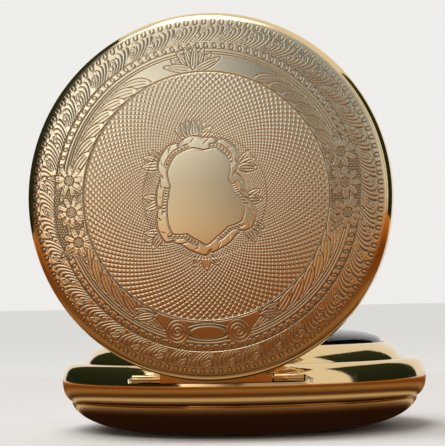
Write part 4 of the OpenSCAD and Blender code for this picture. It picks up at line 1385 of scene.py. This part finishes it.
@dataclass
class Studio:
    """Camera, pale floor, soft lamps and the cards that the polished gold mirrors.

    The cards give the gold its light and dark zones: the front card stands for the lit room before
    the watch, and the table card for the brown wood below it, with a painted shadow next to the
    watch and a painted highlight ring just beyond it.
    """

    camera_at: Triple = (32.339, -220.0, 16.206)
    yaw: float = -8.987
    pitch: float = 2.681
    roll: float = -1.104
    focal_px: float = 1702.2
    picture_w_px: int = 445
    sensor: float = 36
    clip_m: Pair = (0.01, 50)
    pale: Colour = (0.86, 0.85, 0.83)
    ambient: float = 0.5
    floor_half_m: float = 6
    floor_drop: float = 0.02
    cloud_w: float = 20
    cloud_share: float = 0.97
    sun: float = 1.5
    sun_size: float = 40
    sun_turn: Triple = (35, -20, 0)
    lamp_at: Triple = (-60, -120, 360)
    lamp_aim: Triple = (0, 0, 30)
    lamp_w: float = 220
    lamp_watts: float = 0.4
    cards: tuple[Card, ...] = (
        Card("front_card", (0, -430, 450), (90, 0), (900, 900), Run.UP,
             ((0, (0.64, 0.54, 0.40)), (28, (0.52, 0.47, 0.40)), (58, (0.34, 0.35, 0.35)),
              (100, (0.84, 0.90, 1.0)), (150, (0.46, 0.51, 0.60)), (300, (0.46, 0.51, 0.60))),
             across=((-262, 0.02), (-242, 3.0), (-170, 2.3), (-68, 1.3), (-20, 0.5), (38, 0.16),
                     (62, 0.62), (90, 0.85))),
        # Table card, by distance from the watch's centre: near-black out to about 24 mm as the
        # watch's painted shadow, a bright ring at 26 to 27.5 mm as a painted highlight, then dark
        # and brown bands for the wood, turning copper farther out.
        Card("table_card", (0, -135, 0.3), (0, 0), (700, 590), Run.OUT,
             ((15, (0.01, 0.004, 0.002)), (22.5, (0.02, 0.008, 0.004)),
              (24.5, (0.10, 0.045, 0.02)), (26, (0.50, 0.38, 0.24)), (27.5, (0.50, 0.38, 0.24)),
              (29, (0.12, 0.05, 0.02)), (32, (0.08, 0.034, 0.014)), (37, (0.22, 0.11, 0.04)),
              (44, (0.30, 0.16, 0.06)), (60, (0.19, 0.07, 0.016)), (90, (0.17, 0.05, 0.010)),
              (150, (0.38, 0.13, 0.025)), (330, (0.62, 0.30, 0.09))), bright=1.1),
        Card("left_card", (-260, 10, 200), (90, 90), (660, 400), Run.UP, DARK),
        Card("right_card", (260, 140, 160), (90, 90), (420, 320), Run.UP, DARK))

    def camera(self) -> None:
        """Set up the camera that the photograph was solved for."""
        yaw, pitch, roll = (math.radians(v) for v in (self.yaw, self.pitch, self.roll))
        ahead = Vector((math.sin(yaw) * math.cos(pitch), math.cos(yaw) * math.cos(pitch),
                        math.sin(pitch)))
        level = Vector((math.cos(yaw), -math.sin(yaw), 0))
        up = level.cross(ahead)
        right = level * math.cos(roll) + up * math.sin(roll)
        top = up * math.cos(roll) - level * math.sin(roll)
        turn = Matrix((right, top, -ahead)).transposed().to_4x4()
        data = bpy.data.cameras.new("camera")
        data.sensor_fit = "HORIZONTAL"
        data.sensor_width = self.sensor
        data.lens = self.focal_px / self.picture_w_px * self.sensor
        data.clip_start, data.clip_end = self.clip_m
        camera = added("camera", data)
        camera.matrix_world = Matrix.Translation(Vector(self.camera_at) * MM) @ turn
        bpy.context.scene.camera = camera

    def world(self) -> None:
        """Pale surroundings that the camera, gold and glass see, and softer light from them."""
        world = bpy.data.worlds.new("studio")
        bpy.context.scene.world = world
        world.use_nodes = True
        nodes, link = world.node_tree.nodes, world.node_tree.links.new
        seen, lit = nodes["Background"], nodes.new("ShaderNodeBackground")
        for background in (seen, lit):
            background.inputs["Color"].default_value = (*self.pale, 1)
        lit.inputs["Strength"].default_value = self.ambient
        rays = nodes.new("ShaderNodeLightPath").outputs
        first, both = (nodes.new("ShaderNodeMath") for _ in range(2))
        both.use_clamp = True
        link(rays["Is Camera Ray"], first.inputs[0])
        link(rays["Is Glossy Ray"], first.inputs[1])
        link(first.outputs[0], both.inputs[0])
        link(rays["Is Transmission Ray"], both.inputs[1])
        mix = nodes.new("ShaderNodeMixShader")
        for number, source in enumerate((both, lit, seen)):
            link(source.outputs[0], mix.inputs[number])
        link(mix.outputs[0], nodes["World Output"].inputs["Surface"])

    def floor(self) -> None:
        """Wide pale floor under the watch."""
        bm = bmesh.new()
        bmesh.ops.create_grid(bm, x_segments=8, y_segments=8, size=self.floor_half_m)
        shader = Shader("floor_paper", Roughness=0.8)
        shader.paint(shader.noise(self.cloud_w), self.pale, shade(self.pale, self.cloud_share))
        floor = added("floor", into_mesh("floor", bm))
        floor.data.materials.append(shader.material)
        floor.location.z = -self.floor_drop * MM

    def lamps(self) -> None:
        """Wide soft light that falls evenly on the set, and one soft square lamp above it."""
        data = bpy.data.lights.new("wide_light", "SUN")
        data.energy = self.sun
        data.angle = math.radians(self.sun_size)
        added("wide_light", data).rotation_euler = [math.radians(v) for v in self.sun_turn]
        data = bpy.data.lights.new("top_lamp", "AREA")
        data.energy = self.lamp_watts
        data.size = self.lamp_w * MM
        lamp, centre = added("top_lamp", data), Vector(self.lamp_at)
        lamp.location = centre * MM
        lamp.rotation_euler = (centre - Vector(self.lamp_aim)).to_track_quat("Z", "Y").to_euler()

    def build(self) -> None:
        """Set up the whole studio."""
        self.camera()
        self.world()
        self.floor()
        for card in self.cards:
            card.build()
        self.lamps()
        bpy.context.scene.view_settings.view_transform = "Standard"


def main() -> None:
    """Build the watch and its studio, piece by piece."""
    logging.basicConfig(level=logging.INFO, format="%(name)s: %(message)s")
    palette = {finish: finish.value.make() for finish in Finish}
    Studio().build()
    for part in (Cover(), Case(), Dial(), Movement()):
        part.build(palette)


if __name__ == "__main__":
    main()
